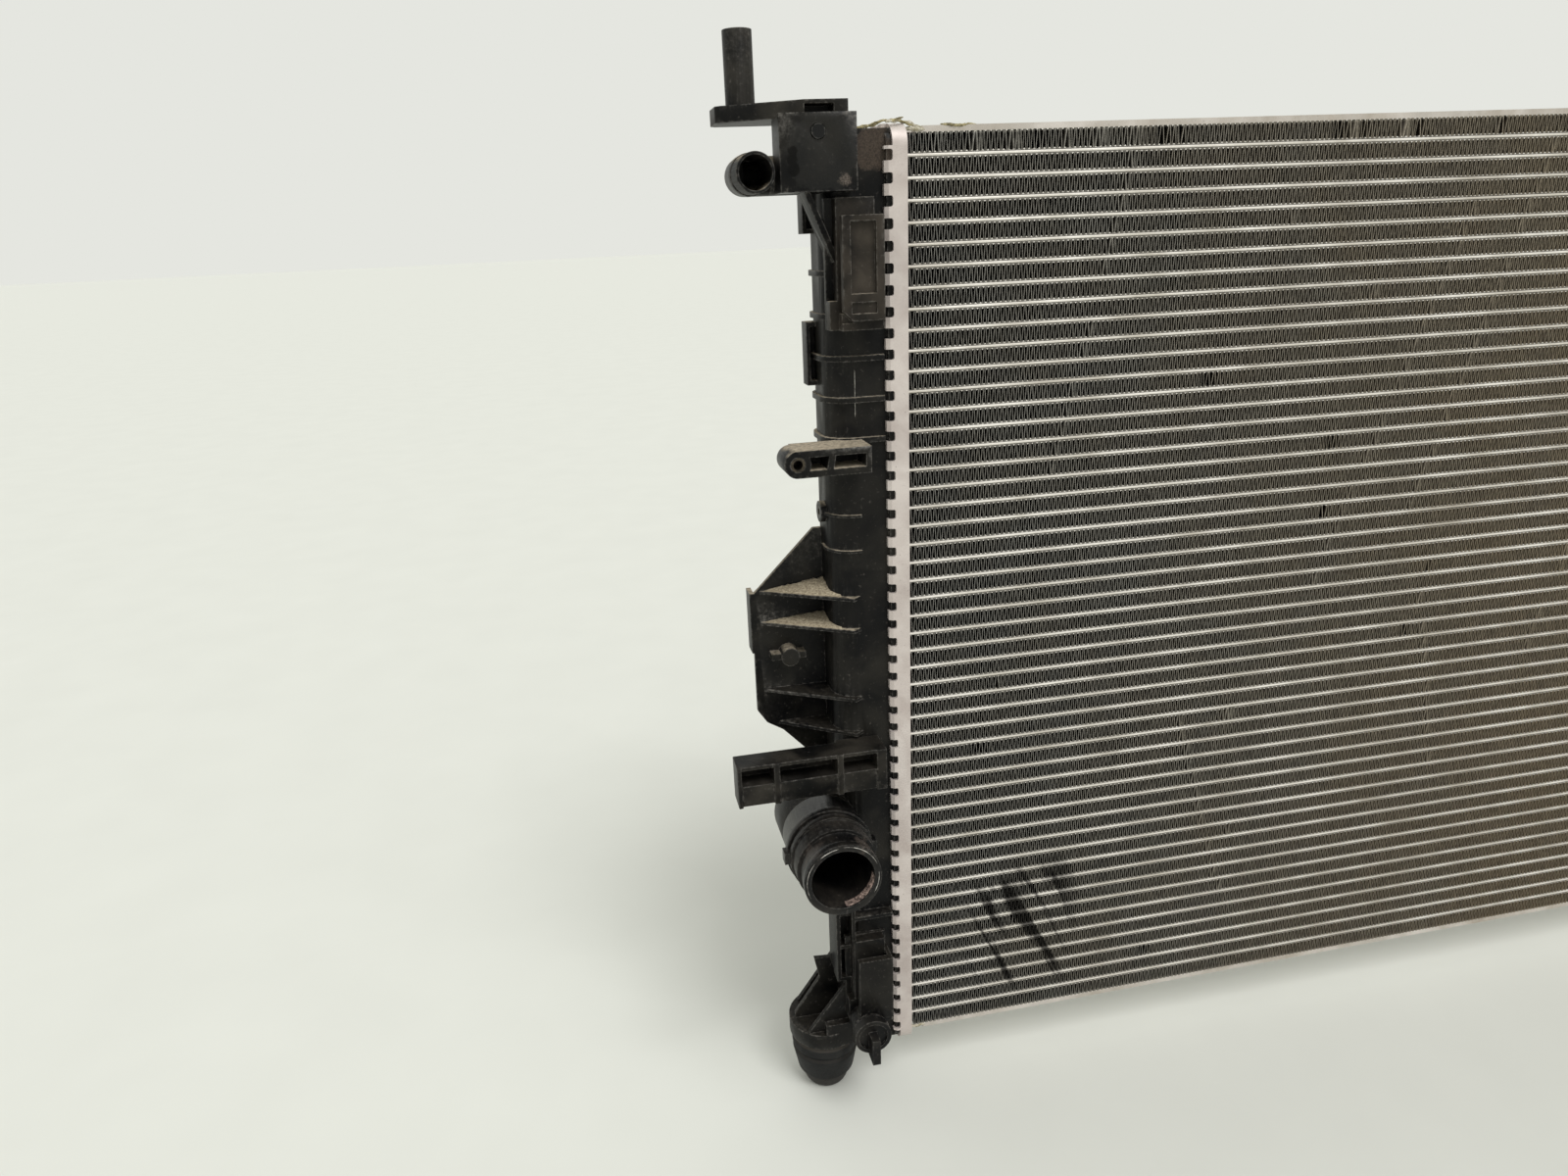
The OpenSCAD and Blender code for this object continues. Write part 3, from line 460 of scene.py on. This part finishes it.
def fin_foil_material():
    """Foil drawn dark, partly dirt and partly painted shade of the deep gaps, pale at the front and
    back edges and near a tube, with oily runs.

    Height from a strip's middle is abs(((z - core_bottom) modulo pitch) - pitch / 2). A wave node
    draws one band for each louvre when its scale is pi over ten louvre pitches."""
    material, tree, place = start_material("fin_foil")
    axes = add(tree, "SeparateXYZ", {0: place}).node
    cloud = add(
        tree, "TexNoise", {"Vector": place, "Scale": per_size(45.45), "Detail": 6.0, "Distortion": 0.8}
    )
    fine = add(
        tree, "TexNoise", {"Vector": place, "Scale": per_size(2.381), "Detail": 4.0, "Roughness": 0.7}
    )
    drift = add(tree, "Math", {0: cloud, 1: 0.3, 2: axes.outputs["X"]}, operation="MULTIPLY_ADD")
    side = add(tree, "MapRange", {"Value": drift, "From Min": -0.17, "From Max": 0.22})
    # Painted shade: the foil's faces go nearly black, darker than their dirt alone, for the shade deep
    # between the folds.
    dirt_and_painted_shade = add(
        tree, "Mix", {0: side, 6: linear("#10100F"), 7: linear("#4A4136")}, out=2, data_type="RGBA"
    )
    cut = add(
        tree, "Mix", {0: side, 6: linear("#A3A19B"), 7: linear("#A3957F")}, out=2, data_type="RGBA"
    )
    depth = add(tree, "Math", {0: axes.outputs["Y"]}, operation="ABSOLUTE")
    edge = add(tree, "MapRange", {"Value": depth, "From Min": 0.0122, "From Max": 0.0129})
    worn = add(tree, "MapRange", {"Value": fine, "From Min": 0.3, "From Max": 0.6, "To Min": 0.4})
    edge = add(tree, "Math", {0: edge, 1: worn}, operation="MULTIPLY")
    colour = add(tree, "Mix", {0: edge, 6: dirt_and_painted_shade, 7: cut}, out=2, data_type="RGBA")
    lift = add(tree, "Math", {0: axes.outputs["Z"], 1: core_bottom * MM}, operation="SUBTRACT")
    lift = add(tree, "Math", {0: lift, 1: pitch * MM}, operation="MODULO")
    lift = add(tree, "Math", {0: lift, 1: pitch / 2 * MM}, operation="SUBTRACT")
    lift = add(tree, "Math", {0: lift}, operation="ABSOLUTE")
    fillet = add(
        tree, "MapRange", {"Value": lift, "From Min": 0.0033, "From Max": 0.0036, "To Max": 0.35}
    )
    mouth = add(tree, "MapRange", {"Value": depth, "From Min": 0.010, "From Max": 0.0128})
    fillet = add(tree, "Math", {0: fillet, 1: mouth}, operation="MULTIPLY")
    pale = add(
        tree, "Mix", {0: side, 6: linear("#DCD8D0"), 7: linear("#C2B49F")}, out=2, data_type="RGBA"
    )
    colour = add(tree, "Mix", {0: fillet, 6: colour, 7: pale}, out=2, data_type="RGBA")
    oil = oily_runs(tree, place)
    colour = add(tree, "Mix", {0: oil, 6: colour, 7: linear("#14110F")}, out=2, data_type="RGBA")
    bands = np.pi / (10 * louvre_pitch * MM)
    louvre = add(
        tree, "TexWave", {"Vector": place, "Scale": bands, "Distortion": 0.0}, bands_direction="Y"
    )
    rough = add(tree, "MapRange", {"Value": fine, "To Min": 0.4, "To Max": 0.7})
    end_material(
        tree,
        {"Base Color": colour, "Roughness": rough, "Metallic": 0.2, "Specular IOR Level": 0.3},
        louvre,
        0.25,
    )
    return material


fin_foil = fin_foil_material()
print("foil finish:", fin_foil.name, "nodes", len(fin_foil.node_tree.nodes))

# %% [markdown]
# ## Turned brass, sealant and scale
# Small things: threaded inserts, a yellowish bead of old sealant, the chalky crust that dried
# coolant leaves in the outlet, and brazing residue at the corners of the core.


# %% Small materials
def crumbly(name, light, dark, blotch_mm, roughness, metallic=0.0, relief_mm=0.2):
    """Two tones by noise, with matching bumps."""
    material, tree, place = start_material(name)
    tone = add(
        tree,
        "TexNoise",
        {"Vector": place, "Scale": per_size(blotch_mm), "Detail": 5.0, "Roughness": 0.65},
    )
    share = add(tree, "MapRange", {"Value": tone, "From Min": 0.38, "From Max": 0.62})
    colour = add(tree, "Mix", {0: share, 6: linear(dark), 7: linear(light)}, out=2, data_type="RGBA")
    rough = add(tree, "MapRange", {"Value": tone, "To Min": roughness, "To Max": roughness + 0.15})
    end_material(
        tree, {"Base Color": colour, "Roughness": rough, "Metallic": metallic}, tone, relief_mm
    )
    return material


insert_metal = crumbly("tarnished_brass", "#4E473C", "#2C2824", 1.429, 0.4, 0.8, 0.04)
sealant = crumbly("old_sealant", "#B5A87C", "#5F5638", 2.381, 0.55)
scale_crust = crumbly("coolant_scale", "#A08A80", "#2A211D", 1.429, 0.8, relief_mm=0.4)
# Pale: the mould seam's own colour, and also the lip's painted highlight.
pale_seam_and_highlight = crumbly("pale_seam_and_highlight", "#C9C5BE", "#55514D", 3.846, 0.5)
road_sand = crumbly("road_sand", "#B3A78F", "#7C6F5C", 1.111, 0.85, relief_mm=0.3)
braze_residue = crumbly("braze_residue", "#C9C3B4", "#8B8268", 2.0, 0.7)
print("materials so far:", len(bpy.data.materials))

# %% [markdown]
# ## Folded fins
# One strip of foil is folded like a concertina and laid between two tubes. Its centre line is a
# wave with flat tips where it is brazed to the tubes, one fold every 2.35 mm. Each of the 51 strips
# gets its own small errors of pitch, because the folding rolls and the oven both leave some. Stones
# and clumsy hands bend the front edges, mostly in the top strip, and a few long scratches run
# across many strips on a slant. Rows of louvres stop the eye looking straight through a real
# strip, and here the walls do it, by leaning into a shallow V. The foil is drawn 0.15 mm thick, so
# that it holds up from arm's length.


# %% Sizes of the fins
# All in mm. A strip's front edge bends over bend_deep, and the strip leans by lean at y = lean_at.
tube_count, tube_t, core_half, core_deep = 50, 1.8, 335.0, 26.0
fin_period, fin_thick, bend_deep, lean, lean_at = 2.35, 0.15, 3.0, 1.2, 1.5
fin_from, fin_to = -core_half + 1.6, core_half - 1.6
fold_count = int((fin_to - fin_from) / fin_period)
# Corners of one fold: how far along it, and how high from the middle, where 1 is the upper tube.
fold_at = np.array([-0.13, 0.13, 0.37, 0.63])
fold_rise = np.array([1.0, 1.0, -1.0, -1.0])
print("strips", tube_count + 1, "folds in each", fold_count)

# %% [markdown]
# ## Bends and scratches
# A new core is perfectly regular and looks false. Every damage is a place, a width and a sideways
# push of the front edge. A scratch crosses many strips, so each strip that it meets gets one bend,
# a little further along than the last.


# %% Bends of the front edge
# x at the first strip, first strip, last strip, and how far it moves along at each strip, in mm.
scratches = [
    (-262.0, 34, 49, 2.2),
    (-118.0, 24, 46, 3.1),
    (-60.0, 30, 50, 2.6),
    (-20.0, 12, 24, -2.0),
    (30.0, 20, 44, 2.4),
    (-150.0, 6, 18, -2.8),
    (120.0, 25, 47, 2.9),
]


def bends_for(row):
    """Bends of one strip as (x, width, push): stone hits, then every scratch that crosses the row."""
    rng = np.random.default_rng(900 + row)
    hits = 46 if row == tube_count else (2 if row % 4 == 2 else 0)
    spread = rng.uniform(-325, 325, hits)
    bends = [(x, rng.uniform(1.0, 4.0), rng.uniform(0.8, 2.0) * rng.choice([-1, 1])) for x in spread]
    for start, first, last, slope in scratches:
        if first <= row <= last and rng.random() < 0.8:
            bends.append((start + (row - first) * slope + rng.uniform(-1, 1), 1.6, 1.0))
    return bends


print("bends in the top strip", len(bends_for(tube_count)), "in the lowest", len(bends_for(0)))

# %% [markdown]
# ## One strip
# The folding rolls never keep their pitch exactly, so two slow waves shift the folds. The strip is
# the folded line, given a thickness and drawn out through the depth of the core.


# %% Shape of a strip
def fold_places(u, seed):
    """x in mm of a place counted in folds: an even spread plus two slow sine waves of error."""
    rng = np.random.default_rng(seed)
    fast, slow = rng.uniform(0, 6.28, 2)
    wander = 0.25 * np.sin(u * 0.31 + fast) + 0.3 * np.sin(u * 0.083 + slow)
    return fin_from + 1.0 + (u + 0.25) * (fin_to - fin_from - 2.4) / fold_count + 0.5 * wander


def strip_room(row):
    """Lowest and highest z between two tubes, or between a side plate and a tube."""
    low = core_bottom + row * pitch + (0 if row == 0 else tube_t / 2)
    high = core_bottom + (row + 1) * pitch - (0 if row == tube_count else tube_t / 2)
    return low + 0.02, high - 0.02


def fin_strip(low, high, seed, bends):
    """One strip as vertices and faces, in mm.

    The centre line's height is a chopped triangle of x, and the foil's two faces are that line
    moved half a thickness along its normal. Each face is repeated at four depths. At the front a
    bend adds a sideways push of amount times exp(-((x - x0) / width) squared), and near the middle
    the whole strip leans sideways, so that its walls form a shallow V seen from above."""
    u = (np.arange(fold_count)[:, None] + fold_at[None, :]).ravel()
    x = fold_places(u, seed)
    half = (high - low) / 2 - fin_thick / 2
    z = (low + high) / 2 + half * np.tile(fold_rise, fold_count)
    line = np.stack([x, z], 1)
    step = np.gradient(line, axis=0)
    normal = np.stack([-step[:, 1], step[:, 0]], 1)
    normal /= np.maximum(np.linalg.norm(normal, axis=1, keepdims=True), 1e-6)
    depths = np.array([-core_deep / 2, -core_deep / 2 + bend_deep, lean_at, core_deep / 2])
    sheets = []
    for side in (-1, 1):
        skin = line + side * normal * fin_thick / 2
        skin[:, 1] = np.clip(skin[:, 1], low, high)
        push = np.zeros(len(skin))
        for x0, width, amount in bends:
            push += amount * np.exp(-(((skin[:, 0] - x0) / width) ** 2))
        for depth in depths:
            moved = skin[:, 0] + (push if depth == depths[0] else lean * (depth == lean_at))
            moved = np.clip(moved, fin_from, fin_to)
            sheets.append(np.stack([moved, np.full(len(skin), depth), skin[:, 1]], 1))
    count, rows = len(line), len(depths)
    i = np.arange(count - 1)
    pairs = [(r + 1, r) for r in range(rows - 1)] + [(rows + r, rows + r + 1) for r in range(rows - 1)]
    pairs += [(0, rows), (2 * rows - 1, rows - 1)]
    quads = [
        np.stack([a * count + i, a * count + i + 1, b * count + i + 1, b * count + i], 1)
        for a, b in pairs
    ]
    ends = []
    for end in (0, count - 1):
        ring = [r * count + end for r in (0, 1, 2, 3, 7, 6, 5, 4)]
        ends.append(ring if end else ring[::-1])
    return np.concatenate(sheets), np.concatenate(quads), ends


print("room of the first strip, z in mm:", strip_room(0))


# %% [markdown]
# ## From numbers to an object
# A piece is a list of points and a list of faces. One function turns both into an object at the
# origin, turns its faces outward, gives it a finish and lets it ride on the radiator. The strips
# come in ten pieces of five or six, so that no mesh gets too heavy.


# %% Make a piece, and lay the strips
def make_piece(name, verts_mm, faces, material, smooth=False):
    """Puts vertices in mm and faces into one object at the origin, with all faces turned outward."""
    mesh = bpy.data.meshes.new(name)
    mesh.from_pydata((np.asarray(verts_mm) * MM).tolist(), [], faces)
    work = bmesh.new()
    work.from_mesh(mesh)
    bmesh.ops.recalc_face_normals(work, faces=work.faces)
    work.to_mesh(mesh)
    work.free()
    mesh.materials.append(material)
    mesh.polygons.foreach_set("use_smooth", np.full(len(mesh.polygons), smooth))
    piece = bpy.data.objects.new(name, mesh)
    bpy.context.scene.collection.objects.link(piece)
    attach(piece, "radiator")
    return piece


for group, rows in enumerate(np.array_split(np.arange(tube_count + 1), 10)):
    verts, faces, shift = [], [], 0
    for row in rows:
        points, quads, ends = fin_strip(*strip_room(row), 40 + row, bends_for(row))
        verts.append(points)
        faces += (quads + shift).tolist() + [[v + shift for v in ring] for ring in ends]
        shift += len(points)
    strips = make_piece(f"fin_strips_{group + 1}", np.concatenate(verts), faces, fin_foil)
    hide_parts("fins")
    print(strips.name, "strips", len(rows), "faces", len(strips.data.polygons))

# %% [markdown]
# ## Brazing teeth
# The brazing alloy melts off the tube and runs into the notch that two folds leave beside it. From
# the front that is a row of small pale teeth, which gives every tube a scalloped edge. One ribbon
# along each wall of a strip carries them.


# %% Brazing teeth
# Depths in mm from the tube's wall, a tooth's half width in folds, and half the ribbon's width in mm.
tooth_deep, tooth_least, tooth_side, teeth_half = 0.6, 0.04, 0.22, core_deep / 2 - 0.1


def braze_teeth(low, high, seed):
    """Pale teeth in the notches: a ribbon under each tube whose free edge is a chopped zigzag.

    The edge is tooth_least deep where a tooth begins and ends, and tooth_deep half way between two
    folds."""
    verts, faces = [], []
    for wall, away in ((high, -1), (low, 1)):
        tip = 0.5 if away < 0 else 0.0
        three = np.array([-tooth_side, 0.0, tooth_side])
        u = (np.arange(1, fold_count)[:, None] + tip + three).ravel()
        drop = np.tile([tooth_least, tooth_deep, tooth_least], fold_count - 1)
        x = fold_places(u, seed)
        edge = np.full(len(x), wall) + away * drop
        rows = []
        for y in (-teeth_half, teeth_half):
            root = np.full(len(x), wall - 0.02 * away)
            rows.append(np.stack([x, np.full(len(x), y), root], 1))
            rows.append(np.stack([x, np.full(len(x), y), edge], 1))
        start, count = sum(len(v) for v in verts), len(x)
        i = np.arange(count - 1)
        for a, b in ((0, 1), (1, 3), (3, 2), (2, 0)):
            ring = [a * count + i, a * count + i + 1, b * count + i + 1, b * count + i]
            faces.append(np.stack(ring, 1) + start)
        for end in (0, count - 1):
            faces.append(np.array([[end, count + end, 3 * count + end, 2 * count + end]]) + start)
        verts += rows
    return np.concatenate(verts), np.concatenate(faces)


for group, rows in enumerate(np.array_split(np.arange(tube_count + 1), 5)):
    verts, faces, shift = [], [], 0
    for row in rows:
        points, quads = braze_teeth(*strip_room(row), 40 + row)
        verts.append(points)
        faces += (quads + shift).tolist()
        shift += len(points)
    teeth = make_piece(f"braze_teeth_{group + 1}", np.concatenate(verts), faces, tube_metal)
    print(teeth.name, "strips", len(rows), "faces", len(teeth.data.polygons))

# %% [markdown]
# ## Softened mouldings
# A moulding has no knife edge: every corner comes from a milled cavity with a small radius. The
# exact solid's mesh is copied, its doubled points are merged and its flat triangles are joined
# into single faces, and then every sharp edge is rounded by a fraction of a millimetre.


# %% Soft copies of the hard solids
def soft_copy(node_name, width_mm, material):
    """Merged copy of a CAD node with its sharp edges rounded by width_mm."""
    mesh = nodes[node_name].data.copy()
    mesh.name = node_name + "_soft"
    work = bmesh.new()
    work.from_mesh(mesh)
    bmesh.ops.remove_doubles(work, verts=work.verts, dist=2e-6)
    bmesh.ops.dissolve_limit(work, angle_limit=0.02, verts=work.verts, edges=work.edges)
    work.to_mesh(mesh)
    work.free()
    mesh.materials.clear()
    mesh.materials.append(material)
    mesh.polygons.foreach_set("use_smooth", np.full(len(mesh.polygons), True))
    piece = bpy.data.objects.new(node_name + "_soft", mesh)
    bpy.context.scene.collection.objects.link(piece)
    rounding = piece.modifiers.new("rounding", "BEVEL")
    rounding.width = width_mm * MM
    rounding.segments = 2
    rounding.limit_method = "ANGLE"
    rounding.angle_limit = np.radians(35)
    rounding.use_clamp_overlap = True
    rounding.harden_normals = True
    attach(piece, "radiator")
    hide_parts(node_name)
    print(piece.name, "faces before rounding", len(mesh.polygons))


soft_copy("tank_left", 0.35, tank_nylon)
soft_copy("tank_right", 0.35, tank_nylon)
soft_copy("outlet_neck", 0.5, neck_nylon)
soft_copy("inlet_neck", 0.5, neck_nylon)
soft_copy("vent_neck", 0.3, tank_nylon)
soft_copy("channel_bracket", 0.3, channel_nylon)
for clip in ("upper_left", "lower_left", "upper_right", "lower_right"):
    clip_material = clip_nylon if clip.startswith("upper") else tank_nylon
    soft_copy(f"shroud_clip_{clip}", 0.3, clip_material)
soft_copy("upper_bracket_left", 0.5, bracket_nylon)
soft_copy("upper_bracket_right", 0.5, bracket_nylon)

# %% [markdown]
# ## Solids shown as they are
# The flat tubes, plates, headers, studs, inserts, seals and the drain plug are sharp enough as
# exact solids. They only need their finishes, which replace whatever their meshes came with.

# %% Materials of the solids that are shown as they are
finishes = {
    "tubes": tube_metal,
    "side_plate_top": plate_metal,
    "side_plate_bottom": plate_metal,
    "header_left": header_metal,
    "header_right": header_metal,
    "seal_left": seal_rubber,
    "seal_right": seal_rubber,
    "snap_stud_left": stud_nylon,
    "snap_stud_right": stud_nylon,
    "shroud_insert_left": insert_metal,
    "shroud_insert_right": insert_metal,
    "end_insert": insert_metal,
    "drain_plug": plug_nylon,
    "drain_ring": seal_rubber,
}
for node_name, material in finishes.items():
    nodes[node_name].data.materials.clear()
    nodes[node_name].data.materials.append(material)
print("solids shown as they are:", len(finishes))

# %% [markdown]
# ## Rubber isolators
# Each isolator is a turned shape: its outline goes from the bore over the top, down the ringed
# body, in to the shoulder that rests on the car, and round the nose.

# %% Isolators
# The pegs' distance from the middle, then the isolator's own sizes, in mm.
peg_x, iso_r, nose_r, nose_h, bore_r = 379.5, 18.6, 12.0, 9.0, 9.3


def turned(outline, centre, around=96):
    """A closed outline of (radius, z) turned about a vertical line: x = r cos a, y = r sin a."""
    outline = np.asarray(outline)
    angle = np.linspace(0, 2 * np.pi, around, endpoint=False)
    radius, height = outline[:, 0], outline[:, 1]
    x = centre[0] + np.cos(angle)[:, None] * radius
    y = centre[1] + np.sin(angle)[:, None] * radius
    verts = np.stack([x, y, np.broadcast_to(height, x.shape)], 2).reshape(-1, 3)
    k = len(outline)
    a, j = np.meshgrid(np.arange(around), np.arange(k), indexing="ij")
    b, m = (a + 1) % around, (j + 1) % k
    faces = np.stack([a * k + j, b * k + j, b * k + m, a * k + m], 2).reshape(-1, 4)
    return verts, faces.tolist()


top_z = float(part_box("isolator_left")[1][2]) / MM
grooves = np.linspace(0, 1, 25)
groove_r = iso_r - 0.2 - 1.5 * np.abs(np.cos(grooves * np.pi)) ** 5
ringed = list(zip(groove_r.tolist(), (top_z - 1 - 9 * grooves).tolist()))
isolator_outline = (
    [(bore_r, top_z), (iso_r - 0.9, top_z), (iso_r - 0.25, top_z - 0.3)]
    + ringed
    + [(iso_r - 0.5, top_z - 11.2), (iso_r - 0.8, top_z - 12.6), (iso_r - 3.0, 1.3), (iso_r - 4.4, 0.2)]
    + [(nose_r + 0.7, 0.0), (nose_r, -0.6), (nose_r, -nose_h + 3.2), (nose_r - 0.9, -nose_h + 1.4)]
    + [(nose_r - 2.6, -nose_h + 0.3), (nose_r - 4.0, -nose_h), (0.01, -nose_h), (0.01, -nose_h + 3)]
    + [(bore_r, -nose_h + 3.2)]
)
for side, label in ((-1, "left"), (1, "right")):
    verts, faces = turned(isolator_outline, (side * peg_x, 0.0))
    isolator = make_piece(f"isolator_{label}_turned", verts, faces, isolator_rubber, smooth=True)
    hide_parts(f"isolator_{label}")
    print(isolator.name, "faces", len(faces))

# %% [markdown]
# ## Strands of sealant and brazing residue
# At the top left corner a bead of sealant was run over the end of the header plate and has cracked
# into strands. Brazing residue sits where the side plate begins. Each is a lumpy cord laid along a
# path that wanders between two points.


# %% Strands
def cord(path_mm, radii_mm, seed, around=10):
    """A lumpy cord: rings at right angles to the path, radius times (1 + 0.3 noise), closed ends."""
    rng = np.random.default_rng(seed)
    path = np.asarray(path_mm, float)
    along = np.gradient(path, axis=0)
    along /= np.linalg.norm(along, axis=1, keepdims=True)
    across = np.cross(along, (0.0, 1.0, 0.2))
    across /= np.linalg.norm(across, axis=1, keepdims=True)
    third = np.cross(along, across)
    angle = np.linspace(0, 2 * np.pi, around, endpoint=False)
    lumps = np.asarray(radii_mm)[:, None] * (1 + 0.3 * rng.uniform(-1, 1, (len(path), around)))
    rings = path[:, None] + lumps[..., None] * (
        np.cos(angle)[None, :, None] * across[:, None] + np.sin(angle)[None, :, None] * third[:, None]
    )
    i, j = np.meshgrid(np.arange(len(path) - 1), np.arange(around), indexing="ij")
    n = (j + 1) % around
    faces = np.stack([i * around + j, i * around + n, (i + 1) * around + n, (i + 1) * around + j], 2)
    last = (len(path) - 1) * around
    caps = [list(range(around))[::-1], [last + v for v in range(around)]]
    return rings.reshape(-1, 3), faces.reshape(-1, 4).tolist() + caps


def wandering(start, end, sway_mm, seed, count=28):
    """Straight line from start to end plus sway_mm of slow random waves, fading at both ends."""
    rng = np.random.default_rng(seed)
    t = np.linspace(0, 1, count)[:, None]
    wave = sum(np.sin(t * rng.uniform(2, 8, 3) + rng.uniform(0, 6.28, 3)) for _ in range(3)) / 2
    straight = np.asarray(start) + t * (np.asarray(end) - np.asarray(start))
    return straight + sway_mm * np.sin(np.pi * t) * wave


def thin_ends(count, thickness):
    """Radii that swell from a third of the thickness to all of it: 1 - 0.67 (2 t - 1) to the 4th."""
    t = np.linspace(0, 1, count)
    return thickness * (1 - 0.67 * (2 * t - 1) ** 4)


# Each strand: start, end, sway and thickness in mm, and its finish.
strands = [
    ((-357.5, -16.5, 485.4), (-344.5, -19.0, 488.0), 0.7, 0.5, sealant),
    ((-356.0, -14.0, 485.6), (-343.0, -17.5, 488.4), 0.8, 0.4, sealant),
    ((-346.5, -18.0, 488.0), (-336.0, -18.2, 489.2), 0.6, 0.5, sealant),
    ((-344.0, -19.5, 487.4), (-336.0, -15.0, 488.6), 0.5, 0.7, braze_residue),
    ((-341.0, -17.0, 488.4), (-327.0, -12.6, 486.2), 0.6, 0.45, sealant),
    ((-336.5, -14.5, 488.0), (-325.5, -12.8, 485.6), 0.5, 0.6, braze_residue),
    ((-334.6, -13.2, 485.2), (-325.0, -12.9, 484.9), 0.4, 0.9, braze_residue),
    ((-318.0, -12.7, 486.7), (-302.0, -12.6, 486.3), 0.4, 0.6, sealant),
    ((-334.6, -13.0, 24.6), (-325.0, -12.9, 24.4), 0.4, 0.8, braze_residue),
]
for number, (start, end, sway, thickness, material) in enumerate(strands):
    path = wandering(start, end, sway, 70 + number)
    verts, faces = cord(path, thin_ends(len(path), thickness), 80 + number)
    strand = make_piece(f"dried_strand_{number + 1}", verts, faces, material, smooth=True)
print("strands", len(strands))

# %% [markdown]
# ## Painted highlight on the lip, and mould seam
# Pale arcs laid along the outlet's front lip, a few degrees apart, are a painted highlight where the
# glossy rim catches the light. The tank also shows the fine upright line where the two halves of its
# mould met.

# %% Painted highlight arcs and seam
neck_x, neck_z, neck_bore, neck_front = -381.5, 161.0, 15.2, -63.0
# Painted highlight: pale arcs along the lip where the glossy rim catches the light.
# Start and end in degrees, radius and thickness in mm.
lip_highlight_arcs = [(205, 140, 17.3, 0.16), (128, 96, 17.0, 0.2), (90, 20, 17.4, 0.17), (8, -32, 17.2, 0.14)]
for number, (start, end, radius, thickness) in enumerate(lip_highlight_arcs):
    angle = np.radians(np.linspace(start, end, 40))
    round_x, round_z = radius * np.cos(angle), radius * np.sin(angle)
    path = np.stack([neck_x + round_x, 0 * angle + neck_front + 0.05, neck_z + round_z], 1)
    verts, faces = cord(path, thin_ends(len(path), thickness), 120 + number)
    highlight_arc = make_piece(f"lip_painted_highlight_{number + 1}", verts, faces, pale_seam_and_highlight, smooth=True)

seam_path = wandering((-358.9, -17.5, 367.7), (-358.8, -17.5, 388.3), 0.05, 130)
verts, faces = cord(seam_path, thin_ends(len(seam_path), 0.14), 131)
seam = make_piece("mould_seam", verts, faces, pale_seam_and_highlight, smooth=True)
print("highlight_arcs", len(lip_highlight_arcs), "seam points", len(seam_path))

# %% [markdown]
# ## Sand on the shelves
# Road sand lies on the two small shelves of the wing plate, deep at the wall and thin at the front
# edge. A heap is two grids of points, one rough and one flat, joined round their rim.


# %% Sand heaps
shelf_from, shelf_run, shelf_back = -400.0, 33.0, 5.0
wing_root, wing_run, wing_reach = -403.0, 41.0, 25.5


def heap(shelf_top, seed, tallest_mm, across=24, deep=16):
    """Sand on a shelf: height = tallest * s * (1 - t) to the 0.8 * noise, s along and t forward."""
    rng = np.random.default_rng(seed)
    s, t = np.meshgrid(np.linspace(0, 1, across), np.linspace(0, 1, deep), indexing="ij")
    x = shelf_from + shelf_run * s
    y = shelf_back + (1.0 - (x - wing_root) * wing_reach / wing_run) * t
    rough = rng.uniform(0.7, 1.0, s.shape)
    z = shelf_top + 0.08 + tallest_mm * s**0.8 * (1 - t) ** 0.8 * rough
    top = np.stack([x, y, z], 2).reshape(-1, 3)
    low = np.stack([x, y, 0 * z + shelf_top - 0.1], 2).reshape(-1, 3)
    return closed_sheet(top, low, across, deep)


def closed_sheet(front, back, wide, deep):
    """Two grids of wide by deep points joined round their rim into one closed skin."""
    i, j = np.meshgrid(np.arange(wide - 1), np.arange(deep - 1), indexing="ij")
    corner = i * deep + j
    quads = np.stack([corner, corner + 1, corner + deep + 1, corner + deep], 2).reshape(-1, 4)
    grid = np.arange(wide * deep).reshape(wide, deep)
    rim = np.concatenate([grid[0], grid[1:, -1], grid[-1, -2::-1], grid[-2:0:-1, 0]])
    total = wide * deep
    sides = np.stack([rim, np.roll(rim, -1), np.roll(rim, -1) + total, rim + total], 1)
    faces = np.concatenate([quads, quads[:, ::-1] + total, sides])
    return np.concatenate([front, back]), faces.tolist()


for number, (shelf_top, tallest) in enumerate([(283.0, 5.0), (267.0, 3.6)]):
    verts, faces = heap(shelf_top, 140 + number, tallest)
    sand = make_piece(f"sand_heap_{number + 1}", verts, faces, road_sand, smooth=True)
    print(sand.name, "faces", len(faces))

# %% [markdown]
# ## Crust in the outlet
# Old coolant has dried on the outlet's lower right wall, just behind the lip. It is a patch of the
# bore's own cylinder, raised by noise that fades to nothing at the patch's rim.

# %% Outlet crust
crust_rng = np.random.default_rng(11)
turn_steps, deep_steps = 60, 16
crust_angle = np.radians(np.linspace(-85, -2, turn_steps))[:, None]
crust_depth = np.linspace(0.8, 5.0, deep_steps)[None, :]
crust_fade = np.sin(np.pi * np.linspace(0, 1, turn_steps))[:, None] ** 0.5
crust_fade = crust_fade * np.sin(np.pi * np.linspace(0, 1, deep_steps))[None, :] ** 0.5
crust_lump = crust_rng.uniform(0.1, 1.0, (turn_steps, deep_steps)) * crust_fade
sheets = []
for radius in (neck_bore - 0.1 - crust_lump, neck_bore + 0.15 + 0.0 * crust_lump):
    x = neck_x + np.cos(crust_angle) * radius
    z = neck_z + np.sin(crust_angle) * radius
    sheets.append(np.stack([x, neck_front + crust_depth + 0.0 * x, z], 2).reshape(-1, 3))
verts, crust_faces = closed_sheet(sheets[0], sheets[1], turn_steps, deep_steps)
crust = make_piece("outlet_crust", verts, crust_faces, scale_crust)
print(crust.name, "faces", len(crust_faces))
